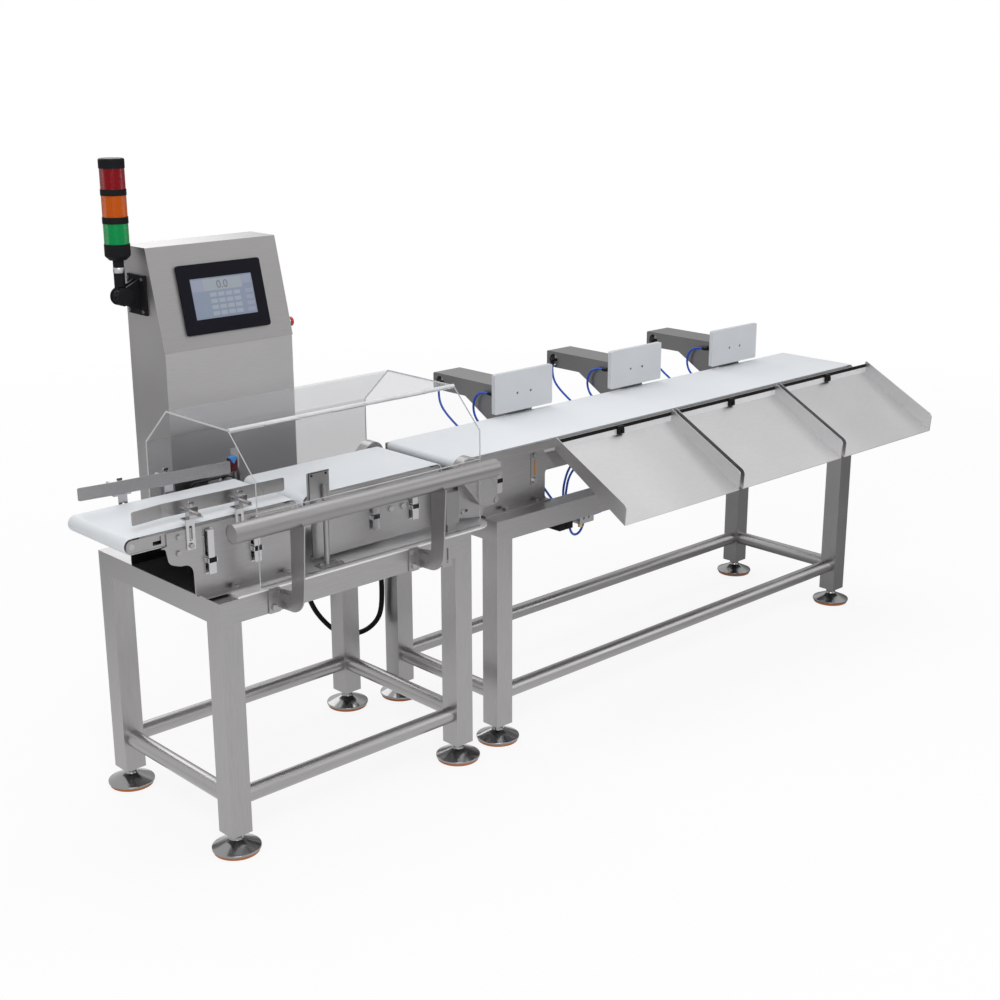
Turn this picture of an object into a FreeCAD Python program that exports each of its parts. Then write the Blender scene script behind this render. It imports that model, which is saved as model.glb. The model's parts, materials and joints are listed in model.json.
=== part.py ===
import FreeCAD, Part
import math
import os

# Weight grading machine: an infeed belt, a weigh belt and a sorting belt in one line on two
# tube stands, with three air pushers that send graded pieces down three chutes.
# Millimetres. X runs along the belts, Y from the front to the back, Z up from the floor.

V = FreeCAD.Vector

# Stands of square tube
TUBE = 50.0
TUBE_WALL = 2.0
STAND_TOP = 565.0
LEG_FOOT = 43.0
LEG_PLUG = 10.0
LEFT_X = 0.0
LEFT_LENGTH = 680.0
LEFT_Y = 0.0
LEFT_DEPTH = 475.0
RIGHT_X = 770.0
RIGHT_LENGTH = 1447.0
RIGHT_Y = 10.0
RIGHT_DEPTH = 420.0
RAIL_DIA = 38.0
RAIL_WALL = 1.5
RAIL_HEIGHT = 119.0
CROSS_TUBE_X = 340.0

# Levelling feet
PAD_DIA = 98.0
PAD_HEIGHT = 7.0
DISC_DIA = 105.0
DISC_EDGE = 4.0
DISC_RISE = 17.0
DISC_HUB_DIA = 26.0
DISC_HUB = 5.0
STUD_DIA = 14.0
STUD_INTO_LEG = 15.0
NUT_ACROSS = 24.0
NUT_HEIGHT = 9.0

# Deck of the weighing stand
DECK_T = 4.0
DECK_X = 46.0
DECK_OVERHANG = 75.0
DECK_CORNER = 45.0
DECK_DEPTH = 438.0
TRAY_T = 2.0
TRAY_X = -8.0
TRAY_END = 244.0
TRAY_Y = 66.0
TRAY_DEPTH = 254.0
TRAY_WALL = 112.0

# Belts
BELT_TOP = 722.0
BELT_T = 2.0
BELT_GAP = 0.3
SHAFT_DIA = 12.0
SHAFT_PLAY = 0.05
ROLLER_SIDE_GAP = 2.0
SIDE_RAIL_T = 3.0
SIDE_RAIL_DROP = 4.0
BED_T = 3.0
BED_FLANGE = 16.0
END_GAP = 1.0

INFEED_Y = 64.0
INFEED_WIDTH = 216.0
INFEED_NOSE = -150.0
INFEED_DRIVE = 230.0
INFEED_END_R = 17.0
WEIGH_NOSE = 275.0
WEIGH_DRIVE = 633.0
SORT_Y = 53.0
SORT_WIDTH = 245.0
SORT_STEP = 61.5
SORT_LENGTH = 1551.0
SORT_DRIVE = WEIGH_DRIVE + SORT_STEP
SORT_TAIL = SORT_DRIVE + SORT_LENGTH
SORT_END_R = 12.5

# Conveyor side plates
PLATE_T = 3.0
FLANGE_OUT = 26.0
INFEED_PLATE_X = -75.0
INFEED_PLATE_END = 227.0
REAR_PLATE_LOW = 650.0
WEIGH_PLATE_X = 277.0
WEIGH_PLATE_END = 640.0
WEIGH_PLATE_LOW = 580.0
SORT_PLATE_X = RIGHT_X + 2.0
SORT_PLATE_END = 996.0
SORT_PLATE_INSET = 25.0
WINDOW_X = -104.0
WINDOW_WIDTH = 19.0

# Drives
PULLEY_DIA = 36.0
PULLEY_WIDTH = 14.0
PULLEY_OFFSET = 12.0
MOTOR_SIZE = 56.0
MOTOR_LENGTH = 60.0
MOTOR_SHAFT = 10.0
INFEED_MOTOR = (152.0, 704.0)
WEIGH_MOTOR = (575.0, 652.0)
SORT_MOTOR = (SORT_DRIVE + 51.5, 641.0)
SORT_MOTOR_SIZE = 48.0
SORT_PULLEY_OFFSET = 8.0
DRIVE_GUARD_R = 27.0
DRIVE_GUARD_WALL = 2.5
FRONT_GUARD_R = 32.0
FRONT_GUARD_Z = 702.0
FRONT_GUARD_DEPTH = 27.0

# Load cell
CELL_LENGTH = 150.0
CELL_WIDTH = 40.0
CELL_HEIGHT = 40.0
CELL_SPACER = 14.0
CELL_HOLE = 15.0

# Guide rails over the infeed belt
GUIDE_T = 2.0
GUIDE_LOW = 742.0
GUIDE_HEIGHT = 28.0
GUIDE_CORNER = 4.0
GUIDE_ROD_DIA = 8.0
GUIDE_ROD_X = (-21.0, 95.0)
GUIDE_ROD_OUT = 62.0
CLAMP = 20.0
CLAMP_HEIGHT = 22.0
SLOT_PLATE = 20.0

# Photo eye and its reflector
POST_DIA = 12.0
POST_X = 296.0
POST_Y = 35.0
POST_TOP = 749.0
EYE_X = 262.0
EYE_TOP = 780.0
FOOT_T = 3.0

# Clear cover over the weigh belt
COVER_X = 110.0
COVER_LENGTH = 612.0
COVER_T = 4.0
COVER_TOP = 885.0
COVER_REAR = 430.0
COVER_FRONT = 13.0
COVER_SPLIT = 727.0
HINGE_DIA = 9.0
HINGE_PIN = 3.0
HINGE_PLAY = 0.1
HINGE_COUNT = 7

# Guard tube along the front
GUARD_DIA = 40.0
GUARD_WALL = 2.0
GUARD_X = -9.0
GUARD_LENGTH = 698.0
GUARD_Y = -70.0
GUARD_Z = 730.0
GUARD_PLATES = (147.0, 522.0)

# Control cabinet
CAB_X = 183.0
CAB_WIDTH = 341.0
CAB_Y = 446.0
CAB_DEPTH = 150.0
CAB_LOW = 571.0
CAB_BEND = 981.0
CAB_TOP = 1206.0
CAB_TOP_DEPTH = 93.0
CAB_WALL = 1.5
CAB_HOOD = 1.5
DOOR_GAP = 1.0
DOOR_T = 14.0
SCREEN_WIDTH = 221.0
SCREEN_HEIGHT = 156.0
SCREEN_T = 7.0
DISPLAY_WIDTH = 164.0
DISPLAY_HEIGHT = 92.0
SCREEN_X = 356.0
SCREEN_Z = 1086.0
BUTTON_DIA = 22.0
BUTTON_Y = 468.0
BUTTON_Z = 1008.0

# Signal tower
TOWER_X = 138.0
TOWER_Y = 540.0
TOWER_PIVOT = 1103.0
TOWER_DIA = 56.0
TOWER_TOP = 1400.0

# Pushers
PUSHER_X = 1125.0
PUSHER_PITCH = 431.5
PUSHERS = 3
PADDLE_WIDTH = 205.0
PADDLE_LOW = 732.0
PADDLE_HEIGHT = 103.0
PADDLE_T = 12.0
PADDLE_Y = 283.0
STROKE = 200.0
ARM_WIDTH = 92.0
ARM_TOP = 790.0
ARM_END = 583.0
ARM_T = 2.5
ROD_DIA = 10.0
ROD_PITCH = 48.0
ROD_Z = 774.0
ROD_LENGTH = 248.0
CYL_Y = 322.0
CYL_LENGTH = 236.0
CYL_WIDTH = 78.0
CYL_HEIGHT = 27.0

# Chutes
CHUTE_X = 1001.0
CHUTE_PITCH = 445.0
CHUTE_WIDTH = 430.0
CHUTE_T = 2.0
CHUTE_END_Y = -181.0
CHUTE_END_Z = 550.0
CHUTE_FLANGE = 46.0

# Air line and power cable
HOSE_DIA = 6.0
CABLE_DIA = 13.0

nodes = {}


def move(shape, x=0.0, y=0.0, z=0.0):
    """A copy of the shape, shifted."""
    copy = shape.copy()
    copy.translate(V(x, y, z))
    return copy


def block(x0, x1, y0, y1, z0, z1):
    """A box between two corners."""
    return Part.makeBox(x1 - x0, y1 - y0, z1 - z0, V(x0, y0, z0))


def rod(x, y, z, length, radius, axis):
    """A round bar from a point along one of the axes."""
    return Part.makeCylinder(radius, length, V(x, y, z), axis)


def tube(x, y, z, length, radius, wall, axis):
    """A round tube from a point along one of the axes."""
    return rod(x, y, z, length, radius, axis).cut(rod(x, y, z, length, radius - wall, axis))


ALONG_X = V(1, 0, 0)
ALONG_Y = V(0, 1, 0)
ALONG_Z = V(0, 0, 1)


def place_xz(y):
    """Puts (u, v) at X = u, Z = v in the plane at this Y."""
    return lambda u, v: V(u, y, v)


def place_yz(x):
    """Puts (u, v) at Y = u, Z = v in the plane at this X."""
    return lambda u, v: V(x, u, v)


def place_xy(z):
    """Puts (u, v) at X = u, Y = v in the plane at this Z."""
    return lambda u, v: V(u, v, z)


def outline(corners, place):
    """A closed face through (u, v, radius) corners, each corner rounded by its own radius."""
    ends = []
    count = len(corners)
    for i in range(count):
        u, v, radius = corners[i]
        before = corners[i - 1]
        after = corners[(i + 1) % count]
        a = V(before[0] - u, before[1] - v, 0)
        b = V(after[0] - u, after[1] - v, 0)
        half = a.getAngle(b) / 2
        if radius <= 0 or half > math.radians(89.9):
            ends.append((place(u, v), None, place(u, v)))
            continue
        a.normalize()
        b.normalize()
        reach = radius / math.tan(half)
        middle = a + b
        middle.normalize()
        depth = radius / math.sin(half) - radius
        ends.append((
            place(u + a.x * reach, v + a.y * reach),
            place(u + middle.x * depth, v + middle.y * depth),
            place(u + b.x * reach, v + b.y * reach),
        ))
    edges = []
    for i in range(count):
        start, middle, end = ends[i]
        if middle is not None:
            edges.append(Part.Arc(start, middle, end).toShape())
        following = ends[(i + 1) % count][0]
        if end.distanceToPoint(following) > 1e-6:
            edges.append(Part.LineSegment(end, following).toShape())
    return Part.Face(Part.Wire(edges))


def plate_xz(corners, y, thickness):
    """A flat plate with its face in the XZ plane, as thick as told towards +Y."""
    return outline(corners, place_xz(y)).extrude(V(0, thickness, 0))


def plate_yz(corners, x, thickness):
    """A flat plate with its face in the YZ plane, as thick as told towards +X."""
    return outline(corners, place_yz(x)).extrude(V(thickness, 0, 0))


def plate_xy(corners, z, thickness):
    """A flat plate with its face in the XY plane, as thick as told towards +Z."""
    return outline(corners, place_xy(z)).extrude(V(0, 0, thickness))


def rectangle(u0, u1, v0, v1, radius=0.0):
    """The four corners of a rectangle, all rounded alike."""
    return [(u0, v0, radius), (u1, v0, radius), (u1, v1, radius), (u0, v1, radius)]


def strip(path, thickness, bend=1.0):
    """The section of a bent sheet: the path is one face, and the sheet lies to the path's left."""
    normals = []
    for a, b in zip(path, path[1:]):
        length = math.hypot(b[0] - a[0], b[1] - a[1])
        normals.append((-(b[1] - a[1]) / length, (b[0] - a[0]) / length))
    outer = []
    inner = []
    for i, (u, v) in enumerate(path):
        if i in (0, len(path) - 1):
            n = normals[0] if i == 0 else normals[-1]
            outer.append((u, v, 0.0))
            inner.append((u + n[0] * thickness, v + n[1] * thickness, 0.0))
            continue
        n, m = normals[i - 1], normals[i]
        share = thickness / (1 + n[0] * m[0] + n[1] * m[1])
        turns_left = n[0] * m[1] - n[1] * m[0] > 0
        outer.append((u, v, bend + thickness if turns_left else bend))
        inner.append((
            u + (n[0] + m[0]) * share,
            v + (n[1] + m[1]) * share,
            bend if turns_left else bend + thickness,
        ))
    return outer + inner[::-1]


def fuse(shapes):
    """One solid of several that touch or overlap."""
    return shapes[0].multiFuse(shapes[1:]).removeSplitter()


def hexagon(x, y, z, across, height):
    """A hexagonal bar standing on a point."""
    side = across / math.sqrt(3)
    corners = [
        (x + side * math.cos(math.radians(60 * i)), y + side * math.sin(math.radians(60 * i)), 0.0)
        for i in range(6)
    ]
    return plate_xy(corners, z, height)


def keep(name, shapes):
    """Files solids under the name of their node."""
    nodes.setdefault(name, []).extend(shapes)


# Stands

STANDS = (
    (LEFT_X, LEFT_X + LEFT_LENGTH, LEFT_Y, LEFT_Y + LEFT_DEPTH),
    (RIGHT_X, RIGHT_X + RIGHT_LENGTH, RIGHT_Y, RIGHT_Y + RIGHT_DEPTH),
)
BEAM_LOW = STAND_TOP - TUBE
HALF = TUBE / 2
FRAME_POSTS = tuple(
    CHUTE_X + (i + 1) * CHUTE_PITCH - (CHUTE_PITCH - CHUTE_WIDTH) / 2 for i in range(2)
)


def leg_centres(stand):
    """The four leg centre lines of a stand."""
    x0, x1, y0, y1 = stand
    return [(x, y) for x in (x0 + HALF, x1 - HALF) for y in (y0 + HALF, y1 - HALF)]


def leg(x, y):
    """A square tube with a threaded plug in its foot."""
    inside = HALF - TUBE_WALL
    shape = block(x - HALF, x + HALF, y - HALF, y + HALF, LEG_FOOT, BEAM_LOW)
    hollow = block(x - inside, x + inside, y - inside, y + inside, LEG_FOOT + LEG_PLUG, BEAM_LOW)
    return shape.cut(hollow).cut(rod(x, y, LEG_FOOT, LEG_PLUG, STUD_DIA / 2, ALONG_Z))


def inset(stand, by):
    """The corners of a stand's rectangle, drawn in by a margin."""
    x0, x1, y0, y1 = stand
    return [(x0 + by, y0 + by), (x1 - by, y0 + by), (x1 - by, y1 - by), (x0 + by, y1 - by)]


def mitred_beams(stand):
    """Four square tubes with mitred corners that close a rectangle."""
    beams = []
    for i in range(4):
        j = (i + 1) % 4
        sides = []
        for out, into in ((0.0, TUBE), (TUBE_WALL, TUBE - TUBE_WALL)):
            a, b = inset(stand, out), inset(stand, into)
            sides.append([(u, v, 0.0) for u, v in (a[i], a[j], b[j], b[i])])
        outside = plate_xy(sides[0], BEAM_LOW, TUBE)
        beams.append(outside.cut(plate_xy(sides[1], BEAM_LOW + TUBE_WALL, TUBE - 2 * TUBE_WALL)))
    return beams


def cross_tube(stand, x):
    """A square tube from the front beam to the rear beam."""
    y0, y1 = stand[2] + TUBE, stand[3] - TUBE
    hollow = HALF - TUBE_WALL
    shape = block(x - HALF, x + HALF, y0, y1, BEAM_LOW, STAND_TOP)
    middle = BEAM_LOW + HALF
    return shape.cut(block(x - hollow, x + hollow, y0, y1, middle - hollow, middle + hollow))


def lower_rails(stand):
    """Round tubes between the legs, near the floor."""
    x0, x1, y0, y1 = stand
    radius = RAIL_DIA / 2
    rails = []
    for y in (y0 + HALF, y1 - HALF):
        rails.append(tube(x0 + TUBE, y, RAIL_HEIGHT, x1 - x0 - 2 * TUBE, radius, RAIL_WALL, ALONG_X))
    for x in (x0 + HALF, x1 - HALF):
        rails.append(tube(x, y0 + TUBE, RAIL_HEIGHT, y1 - y0 - 2 * TUBE, radius, RAIL_WALL, ALONG_Y))
    return rails


def make_stands():
    for stand in STANDS:
        keep("stand_legs", [leg(x, y) for x, y in leg_centres(stand)])
        keep("top_frames", mitred_beams(stand))
        keep("lower_rails", lower_rails(stand))
    keep("top_frames", [cross_tube(STANDS[0], CROSS_TUBE_X)])
    keep("top_frames", [cross_tube(STANDS[1], x) for x in FRAME_POSTS])


def foot(x, y):
    """A pressed steel disc on a rubber pad, with the threaded stud that screws into the leg."""
    edge = PAD_HEIGHT
    shoulder = edge + DISC_EDGE
    crown = shoulder + DISC_RISE
    top = crown + DISC_HUB
    profile = [
        (0.0, edge, 0.0),
        (DISC_DIA / 2, edge, 0.0),
        (DISC_DIA / 2, shoulder, 1.5),
        (DISC_HUB_DIA / 2 + 2, crown, 2.0),
        (DISC_HUB_DIA / 2, top, 0.0),
        (0.0, top, 0.0),
    ]
    disc = outline(profile, lambda u, v: V(x + u, y, v)).revolve(V(x, y, 0), ALONG_Z, 360)
    nut = hexagon(x, y, LEG_FOOT - NUT_HEIGHT, NUT_ACROSS, NUT_HEIGHT)
    stud = rod(x, y, top, LEG_FOOT + STUD_INTO_LEG - top, STUD_DIA / 2, ALONG_Z)
    pad = rod(x, y, 0, PAD_HEIGHT, PAD_DIA / 2, ALONG_Z)
    return pad, disc, fuse([stud, nut])


def make_feet():
    for stand in STANDS:
        for x, y in leg_centres(stand):
            pad, disc, stud = foot(x, y)
            keep("foot_pads", [pad])
            keep("levelling_feet", [disc, stud])


# Deck and lining of the weighing stand

DECK_TOP = STAND_TOP + DECK_T


def make_deck():
    x1 = LEFT_X + LEFT_LENGTH + DECK_OVERHANG
    corners = [
        (DECK_X, LEFT_Y, 2.0),
        (x1, LEFT_Y, DECK_CORNER),
        (x1, LEFT_Y + DECK_DEPTH, 2.0),
        (DECK_X, LEFT_Y + DECK_DEPTH, 2.0),
    ]
    keep("deck_plate", [plate_xy(corners, STAND_TOP, DECK_T)])
    path = [
        (TRAY_Y, DECK_TOP),
        (TRAY_Y + TRAY_DEPTH, DECK_TOP),
        (TRAY_Y + TRAY_DEPTH, DECK_TOP + TRAY_WALL),
    ]
    tray = plate_yz(strip(path, TRAY_T), TRAY_X, TRAY_END - TRAY_X)
    keep("base_tray", [tray])


# Belts and rollers


def stadium(x0, x1, z, radius, y, depth):
    """A bar with half-round ends whose centres lie at x0 and x1."""
    top = [V(x0, y, z + radius), V(x1, y, z + radius)]
    low = [V(x1, y, z - radius), V(x0, y, z - radius)]
    wire = Part.Wire([
        Part.LineSegment(top[0], top[1]).toShape(),
        Part.Arc(top[1], V(x1 + radius, y, z), low[0]).toShape(),
        Part.LineSegment(low[0], low[1]).toShape(),
        Part.Arc(low[1], V(x0 - radius, y, z), top[0]).toShape(),
    ])
    return Part.Face(wire).extrude(V(0, depth, 0))


def belt(x0, x1, end_r, y, width):
    """An endless belt round two rollers, a little narrower than the side rails stand apart."""
    z = BELT_TOP - end_r
    y0 = y + END_GAP
    depth = width - 2 * END_GAP
    return stadium(x0, x1, z, end_r, y0, depth).cut(stadium(x0, x1, z, end_r - BELT_T, y0, depth))


def roller(x, end_r, y, width, front=0.0, back=0.0, pulley=False):
    """A roller with its shaft ends; the shaft may reach out and carry a toothed pulley."""
    z = BELT_TOP - end_r
    radius = end_r - BELT_T - BELT_GAP
    y0, y1 = y + ROLLER_SIDE_GAP, y + width - ROLLER_SIDE_GAP
    parts = [rod(x, y0, z, y1 - y0, radius, ALONG_Y)]
    shaft_y = y - SIDE_RAIL_T - front
    shaft_end = y + width + SIDE_RAIL_T + back
    parts.append(rod(x, shaft_y, z, shaft_end - shaft_y, SHAFT_DIA / 2, ALONG_Y))
    if pulley:
        pulley_y = shaft_y if front > back else shaft_end - PULLEY_WIDTH
        parts.append(rod(x, pulley_y, z, PULLEY_WIDTH, PULLEY_DIA / 2, ALONG_Y))
    return fuse(parts)


def shaft_hole(x, end_r, y, depth):
    """The bore that a roller's shaft turns in."""
    return rod(x, y, BELT_TOP - end_r, depth, SHAFT_DIA / 2 + SHAFT_PLAY, ALONG_Y)


def bed(x0, x1, y, width):
    """A folded steel channel under the carrying run of a belt."""
    top = BELT_TOP - BELT_T
    low = top - BED_FLANGE
    path = [(y + width, low), (y + width, top), (y, top), (y, low)]
    return plate_yz(strip(path, BED_T), x0, x1 - x0)


def side_rail(x0, x1, end_r, y, low, windows=()):
    """A flat bar beside the belt, bored for both roller shafts."""
    z = BELT_TOP - end_r
    top = BELT_TOP - SIDE_RAIL_DROP
    reach = min(end_r, z - low) - 1
    radius = min(reach, (top - low) / 2 - 0.5)
    shape = plate_xz(rectangle(x0 - reach, x1 + reach, low, top, radius), y, SIDE_RAIL_T)
    for x in (x0, x1):
        shape = shape.cut(shaft_hole(x, end_r, y, SIDE_RAIL_T))
    for x, wide in windows:
        hole = rectangle(x, x + wide, low + 5, top - 4, 2.0)
        shape = shape.cut(plate_xz(hole, y, SIDE_RAIL_T))
    return shape


# Latches on the side plates

LATCH_WIDTH = 18.0
LATCH_PIN = 5.0
LATCH_STAND = 7.0
LATCH_LEVER = 24.0


def latch(x, top, low, face):
    """A toggle latch: its catch, its base with the pin, its strap, and the lever apart."""
    pivot = low + LATCH_LEVER + LATCH_PIN
    y = face - LATCH_STAND
    half = LATCH_WIDTH / 2
    catch = fuse([
        plate_xz(rectangle(x - half - 2, x + half - 2, top - 14, top, 2.0), face - 2, 2.0),
        block(x - 6, x + 6, y - 1, face - 2, top - 6, top - 3),
    ])
    base = plate_xz(rectangle(x - half - 4, x + half - 4, low, top - 16, 2.0), face - 2, 2.0)
    for side in (x - half - 2.0, x + half):
        base = base.fuse(block(side, side + 2.0, y - LATCH_PIN, face - 2, pivot - 5, pivot + 5))
    pin = rod(x - half - 2.0, y, pivot, 2 * half + 4, LATCH_PIN / 2, ALONG_X)
    base = base.cut(pin)
    strap_low = pivot + 5.0
    strap = block(x - half + 1, x + half - 3, y - 3, y - 1, strap_low, top - 2)
    strap = strap.fuse(block(x - half + 1, x + half - 3, y - 1, face - 2, strap_low, strap_low + 3))
    knuckle = rod(x - half + 0.5, y, pivot, 2 * half - 1, LATCH_PIN / 2 + 1.8, ALONG_X)
    lever = block(x - half + 0.5, x + half - 0.5, y - 3, y - 1, low, pivot)
    lever = knuckle.fuse(lever)
    lever = lever.cut(rod(x - half, y, pivot, 2 * half, LATCH_PIN / 2 + SHAFT_PLAY, ALONG_X))
    return [catch, base.removeSplitter(), pin, strap.removeSplitter()], lever.removeSplitter()


# Infeed conveyor

RAIL_LOW = BELT_TOP - 30.0
INFEED_FACE = INFEED_Y - SIDE_RAIL_T - PLATE_T
INFEED_BACK = INFEED_Y + INFEED_WIDTH + SIDE_RAIL_T
INFEED_LATCHES = ((21.0, 708.0, 613.0), (131.0, 708.0, 613.0))
PLATE_TOP = BELT_TOP - 6.0


def infeed_plate():
    """The polished front plate with its S-shaped left edge and its out-turned foot."""
    x0, x1 = INFEED_PLATE_X, INFEED_PLATE_END
    corners = [
        (x0, PLATE_TOP, 2.0),
        (x0, RAIL_LOW - 2, 1.0),
        (x0 - 16, RAIL_LOW - 5, 1.0),
        (x0 - 2, RAIL_LOW - 8, 8.0),
        (x0 + 4, 650.0, 16.0),
        (x0 + 28, 642.0, 14.0),
        (x0 + 58, 640.0, 22.0),
        (x0 + 60, DECK_TOP, 6.0),
        (x1, DECK_TOP, 2.0),
        (x1, PLATE_TOP, 2.0),
    ]
    plate = plate_xz(corners, INFEED_FACE, PLATE_T)
    foot_corners = rectangle(x0 + 66, x1 - 14, INFEED_FACE - FLANGE_OUT, INFEED_FACE + 1, 0.0)
    foot_corners[1] = foot_corners[1][:2] + (12.0,)
    return fuse([plate, plate_xy(foot_corners, DECK_TOP, PLATE_T)])


def make_infeed():
    y, width = INFEED_Y, INFEED_WIDTH
    ends = (INFEED_NOSE, INFEED_DRIVE)
    windows = ((WINDOW_X, WINDOW_WIDTH),)
    keep("infeed_belt", [belt(*ends, INFEED_END_R, y, width)])
    keep("infeed_nose_roller", [roller(INFEED_NOSE, INFEED_END_R, y, width)])
    reach = PLATE_T + PULLEY_OFFSET + PULLEY_WIDTH
    keep("infeed_drive_roller", [roller(INFEED_DRIVE, INFEED_END_R, y, width, 0.0, reach, True)])
    keep("infeed_bed", [bed(ends[0] + INFEED_END_R + 2, ends[1] - INFEED_END_R - 2, y, width)])
    rails = [
        side_rail(*ends, INFEED_END_R, y - SIDE_RAIL_T, RAIL_LOW, windows),
        side_rail(*ends, INFEED_END_R, y + width, RAIL_LOW, windows),
    ]
    rear = plate_xz(
        rectangle(INFEED_PLATE_X, INFEED_PLATE_END, REAR_PLATE_LOW, PLATE_TOP, 3.0),
        INFEED_BACK,
        PLATE_T,
    )
    tie_y = TRAY_Y + TRAY_DEPTH - TRAY_T
    ties = [
        rod(x, INFEED_BACK + PLATE_T, REAR_PLATE_LOW + 12, tie_y - INFEED_BACK - PLATE_T, 6.0, ALONG_Y)
        for x in (INFEED_PLATE_X + 75, INFEED_PLATE_END - 75)
    ]
    rear = rear.cut(shaft_hole(INFEED_DRIVE, INFEED_END_R, INFEED_BACK, PLATE_T))
    keep("infeed_side_plates", rails + [infeed_plate(), rear] + ties)
    for x, top, low in INFEED_LATCHES:
        fixed, lever = latch(x, top, low, INFEED_FACE)
        keep("infeed_side_plates", fixed)
        keep("infeed_latch_levers", [lever])


# Weigh conveyor

WEIGH_LATCHES = ((443.0, 704.0, 612.0), (556.0, 704.0, 612.0))
CELL_Y = INFEED_Y + INFEED_WIDTH / 2 - CELL_WIDTH / 2
CELL_X = (WEIGH_NOSE + WEIGH_DRIVE) / 2 - CELL_LENGTH / 2
CELL_LOW = DECK_TOP + CELL_SPACER
CRADLE_Z = CELL_LOW + CELL_HEIGHT + CELL_SPACER


def weigh_plate(y, turn):
    """A side plate of the weigh frame; its foot is turned in under the frame."""
    x0, x1 = WEIGH_PLATE_X, WEIGH_PLATE_END
    plate = plate_xz(rectangle(x0, x1, WEIGH_PLATE_LOW, PLATE_TOP - 5, 3.0), y, PLATE_T)
    lip_y = (y, y + 16) if turn > 0 else (y + PLATE_T - 16, y + PLATE_T)
    lip = block(x0 + 4, x1 - 4, *lip_y, WEIGH_PLATE_LOW, WEIGH_PLATE_LOW + PLATE_T)
    return fuse([plate, lip])


def make_weigh():
    y, width = INFEED_Y, INFEED_WIDTH
    ends = (WEIGH_NOSE, WEIGH_DRIVE)
    keep("weigh_belt", [belt(*ends, INFEED_END_R, y, width)])
    keep("weigh_nose_roller", [roller(WEIGH_NOSE, INFEED_END_R, y, width)])
    reach = PLATE_T + PULLEY_OFFSET + PULLEY_WIDTH
    keep("weigh_drive_roller", [roller(WEIGH_DRIVE, INFEED_END_R, y, width, 0.0, reach, True)])
    keep("weigh_bed", [bed(ends[0] + INFEED_END_R + 2, ends[1] - INFEED_END_R - 2, y, width)])
    back = INFEED_BACK
    hole = shaft_hole(WEIGH_DRIVE, INFEED_END_R, INFEED_FACE - 1, INFEED_WIDTH + 40)
    shaft = rod(WEIGH_MOTOR[0], back, WEIGH_MOTOR[1], PLATE_T, MOTOR_SHAFT / 2 + 1, ALONG_Y)
    plates = [weigh_plate(INFEED_FACE, 1).cut(hole), weigh_plate(back, -1).cut(hole).cut(shaft)]
    rails = [
        side_rail(*ends, INFEED_END_R, y - SIDE_RAIL_T, RAIL_LOW),
        side_rail(*ends, INFEED_END_R, y + width, RAIL_LOW),
    ]
    cradle = block(
        CELL_X - 10, CELL_X + CELL_LENGTH + 10, INFEED_FACE + PLATE_T, back, CRADLE_Z, CRADLE_Z + PLATE_T
    )
    keep("weigh_side_plates", plates + rails + [cradle])
    for x, top, low in WEIGH_LATCHES:
        fixed, lever = latch(x, top, low, INFEED_FACE)
        keep("weigh_side_plates", fixed)
        keep("weigh_latch_levers", [lever])


def make_load_cell():
    """A bending beam with the double hole that lets it flex, between two spacers."""
    x0, x1 = CELL_X, CELL_X + CELL_LENGTH
    y0, y1 = CELL_Y, CELL_Y + CELL_WIDTH
    beam = block(x0, x1, y0, y1, CELL_LOW, CELL_LOW + CELL_HEIGHT)
    middle = CELL_LOW + CELL_HEIGHT / 2
    for x in ((x0 + x1) / 2 - CELL_HOLE, (x0 + x1) / 2 + CELL_HOLE):
        beam = beam.cut(rod(x, y0, middle, CELL_WIDTH, CELL_HOLE * 0.8, ALONG_Y))
    beam = beam.cut(
        block((x0 + x1) / 2 - CELL_HOLE, (x0 + x1) / 2 + CELL_HOLE, y0, y1, middle - 2, middle + 2)
    )
    low = block(x0, x0 + CELL_WIDTH, y0, y1, DECK_TOP, CELL_LOW)
    high = block(x1 - CELL_WIDTH, x1, y0, y1, CELL_LOW + CELL_HEIGHT, CRADLE_Z)
    keep("load_cell", [beam, low, high])


# Sorting conveyor

SORT_LOW = BELT_TOP - 2 * SORT_END_R
SORT_BACK = SORT_Y + SORT_WIDTH
SORT_PLATE_Y = SORT_Y + SORT_PLATE_INSET
SORT_PLATE_TOP = SORT_LOW - 3.0
LINK_T = 4.0
LINK_BOLT_X = (SORT_PLATE_X + 11.0, SORT_PLATE_X + 26.0)
LINK_BOLT_Z = 608.0
SORT_LATCH = (834.0, 692.0, 612.0)
MARKER = (947.0, 967.0, 607.0, 690.0)


def sort_plate(y, out):
    """A side plate below the drive end; its right end rises to a slanted ear."""
    x0, x1 = SORT_PLATE_X, SORT_PLATE_END
    corners = [
        (x0, STAND_TOP, 3.0),
        (x1, STAND_TOP, 3.0),
        (x1, 641.0, 14.0),
        (x1 + 38, 636.0, 3.0),
        (x1 - 12, SORT_PLATE_TOP, 4.0),
        (x0, SORT_PLATE_TOP, 3.0),
    ]
    plate = plate_xz(corners, y, PLATE_T)
    span = (y - 24, y + 1) if out > 0 else (y, y + 24)
    lip = block(x0 + 4, x1 - 4, *span, STAND_TOP, STAND_TOP + PLATE_T)
    return fuse([plate, lip])


def link_plate(y):
    """Hangs the drive end of the bed on the side plate, past the edge of the belt."""
    left, right = SORT_DRIVE - SORT_END_R, SORT_PLATE_X + 34.0
    low, top = LINK_BOLT_Z - 12.0, BELT_TOP - SIDE_RAIL_DROP
    corners = [
        (left, top, 2.0), (left, low - 10.0, 3.0), (left + 74.0, low - 20.0, 6.0), (left + 80.0, low, 4.0),
        (right, low, 12.0), (right, top, 2.0),
    ]
    plate = plate_xz(corners, y, LINK_T)
    return plate.cut(shaft_hole(SORT_DRIVE, SORT_END_R, y, LINK_T))


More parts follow.
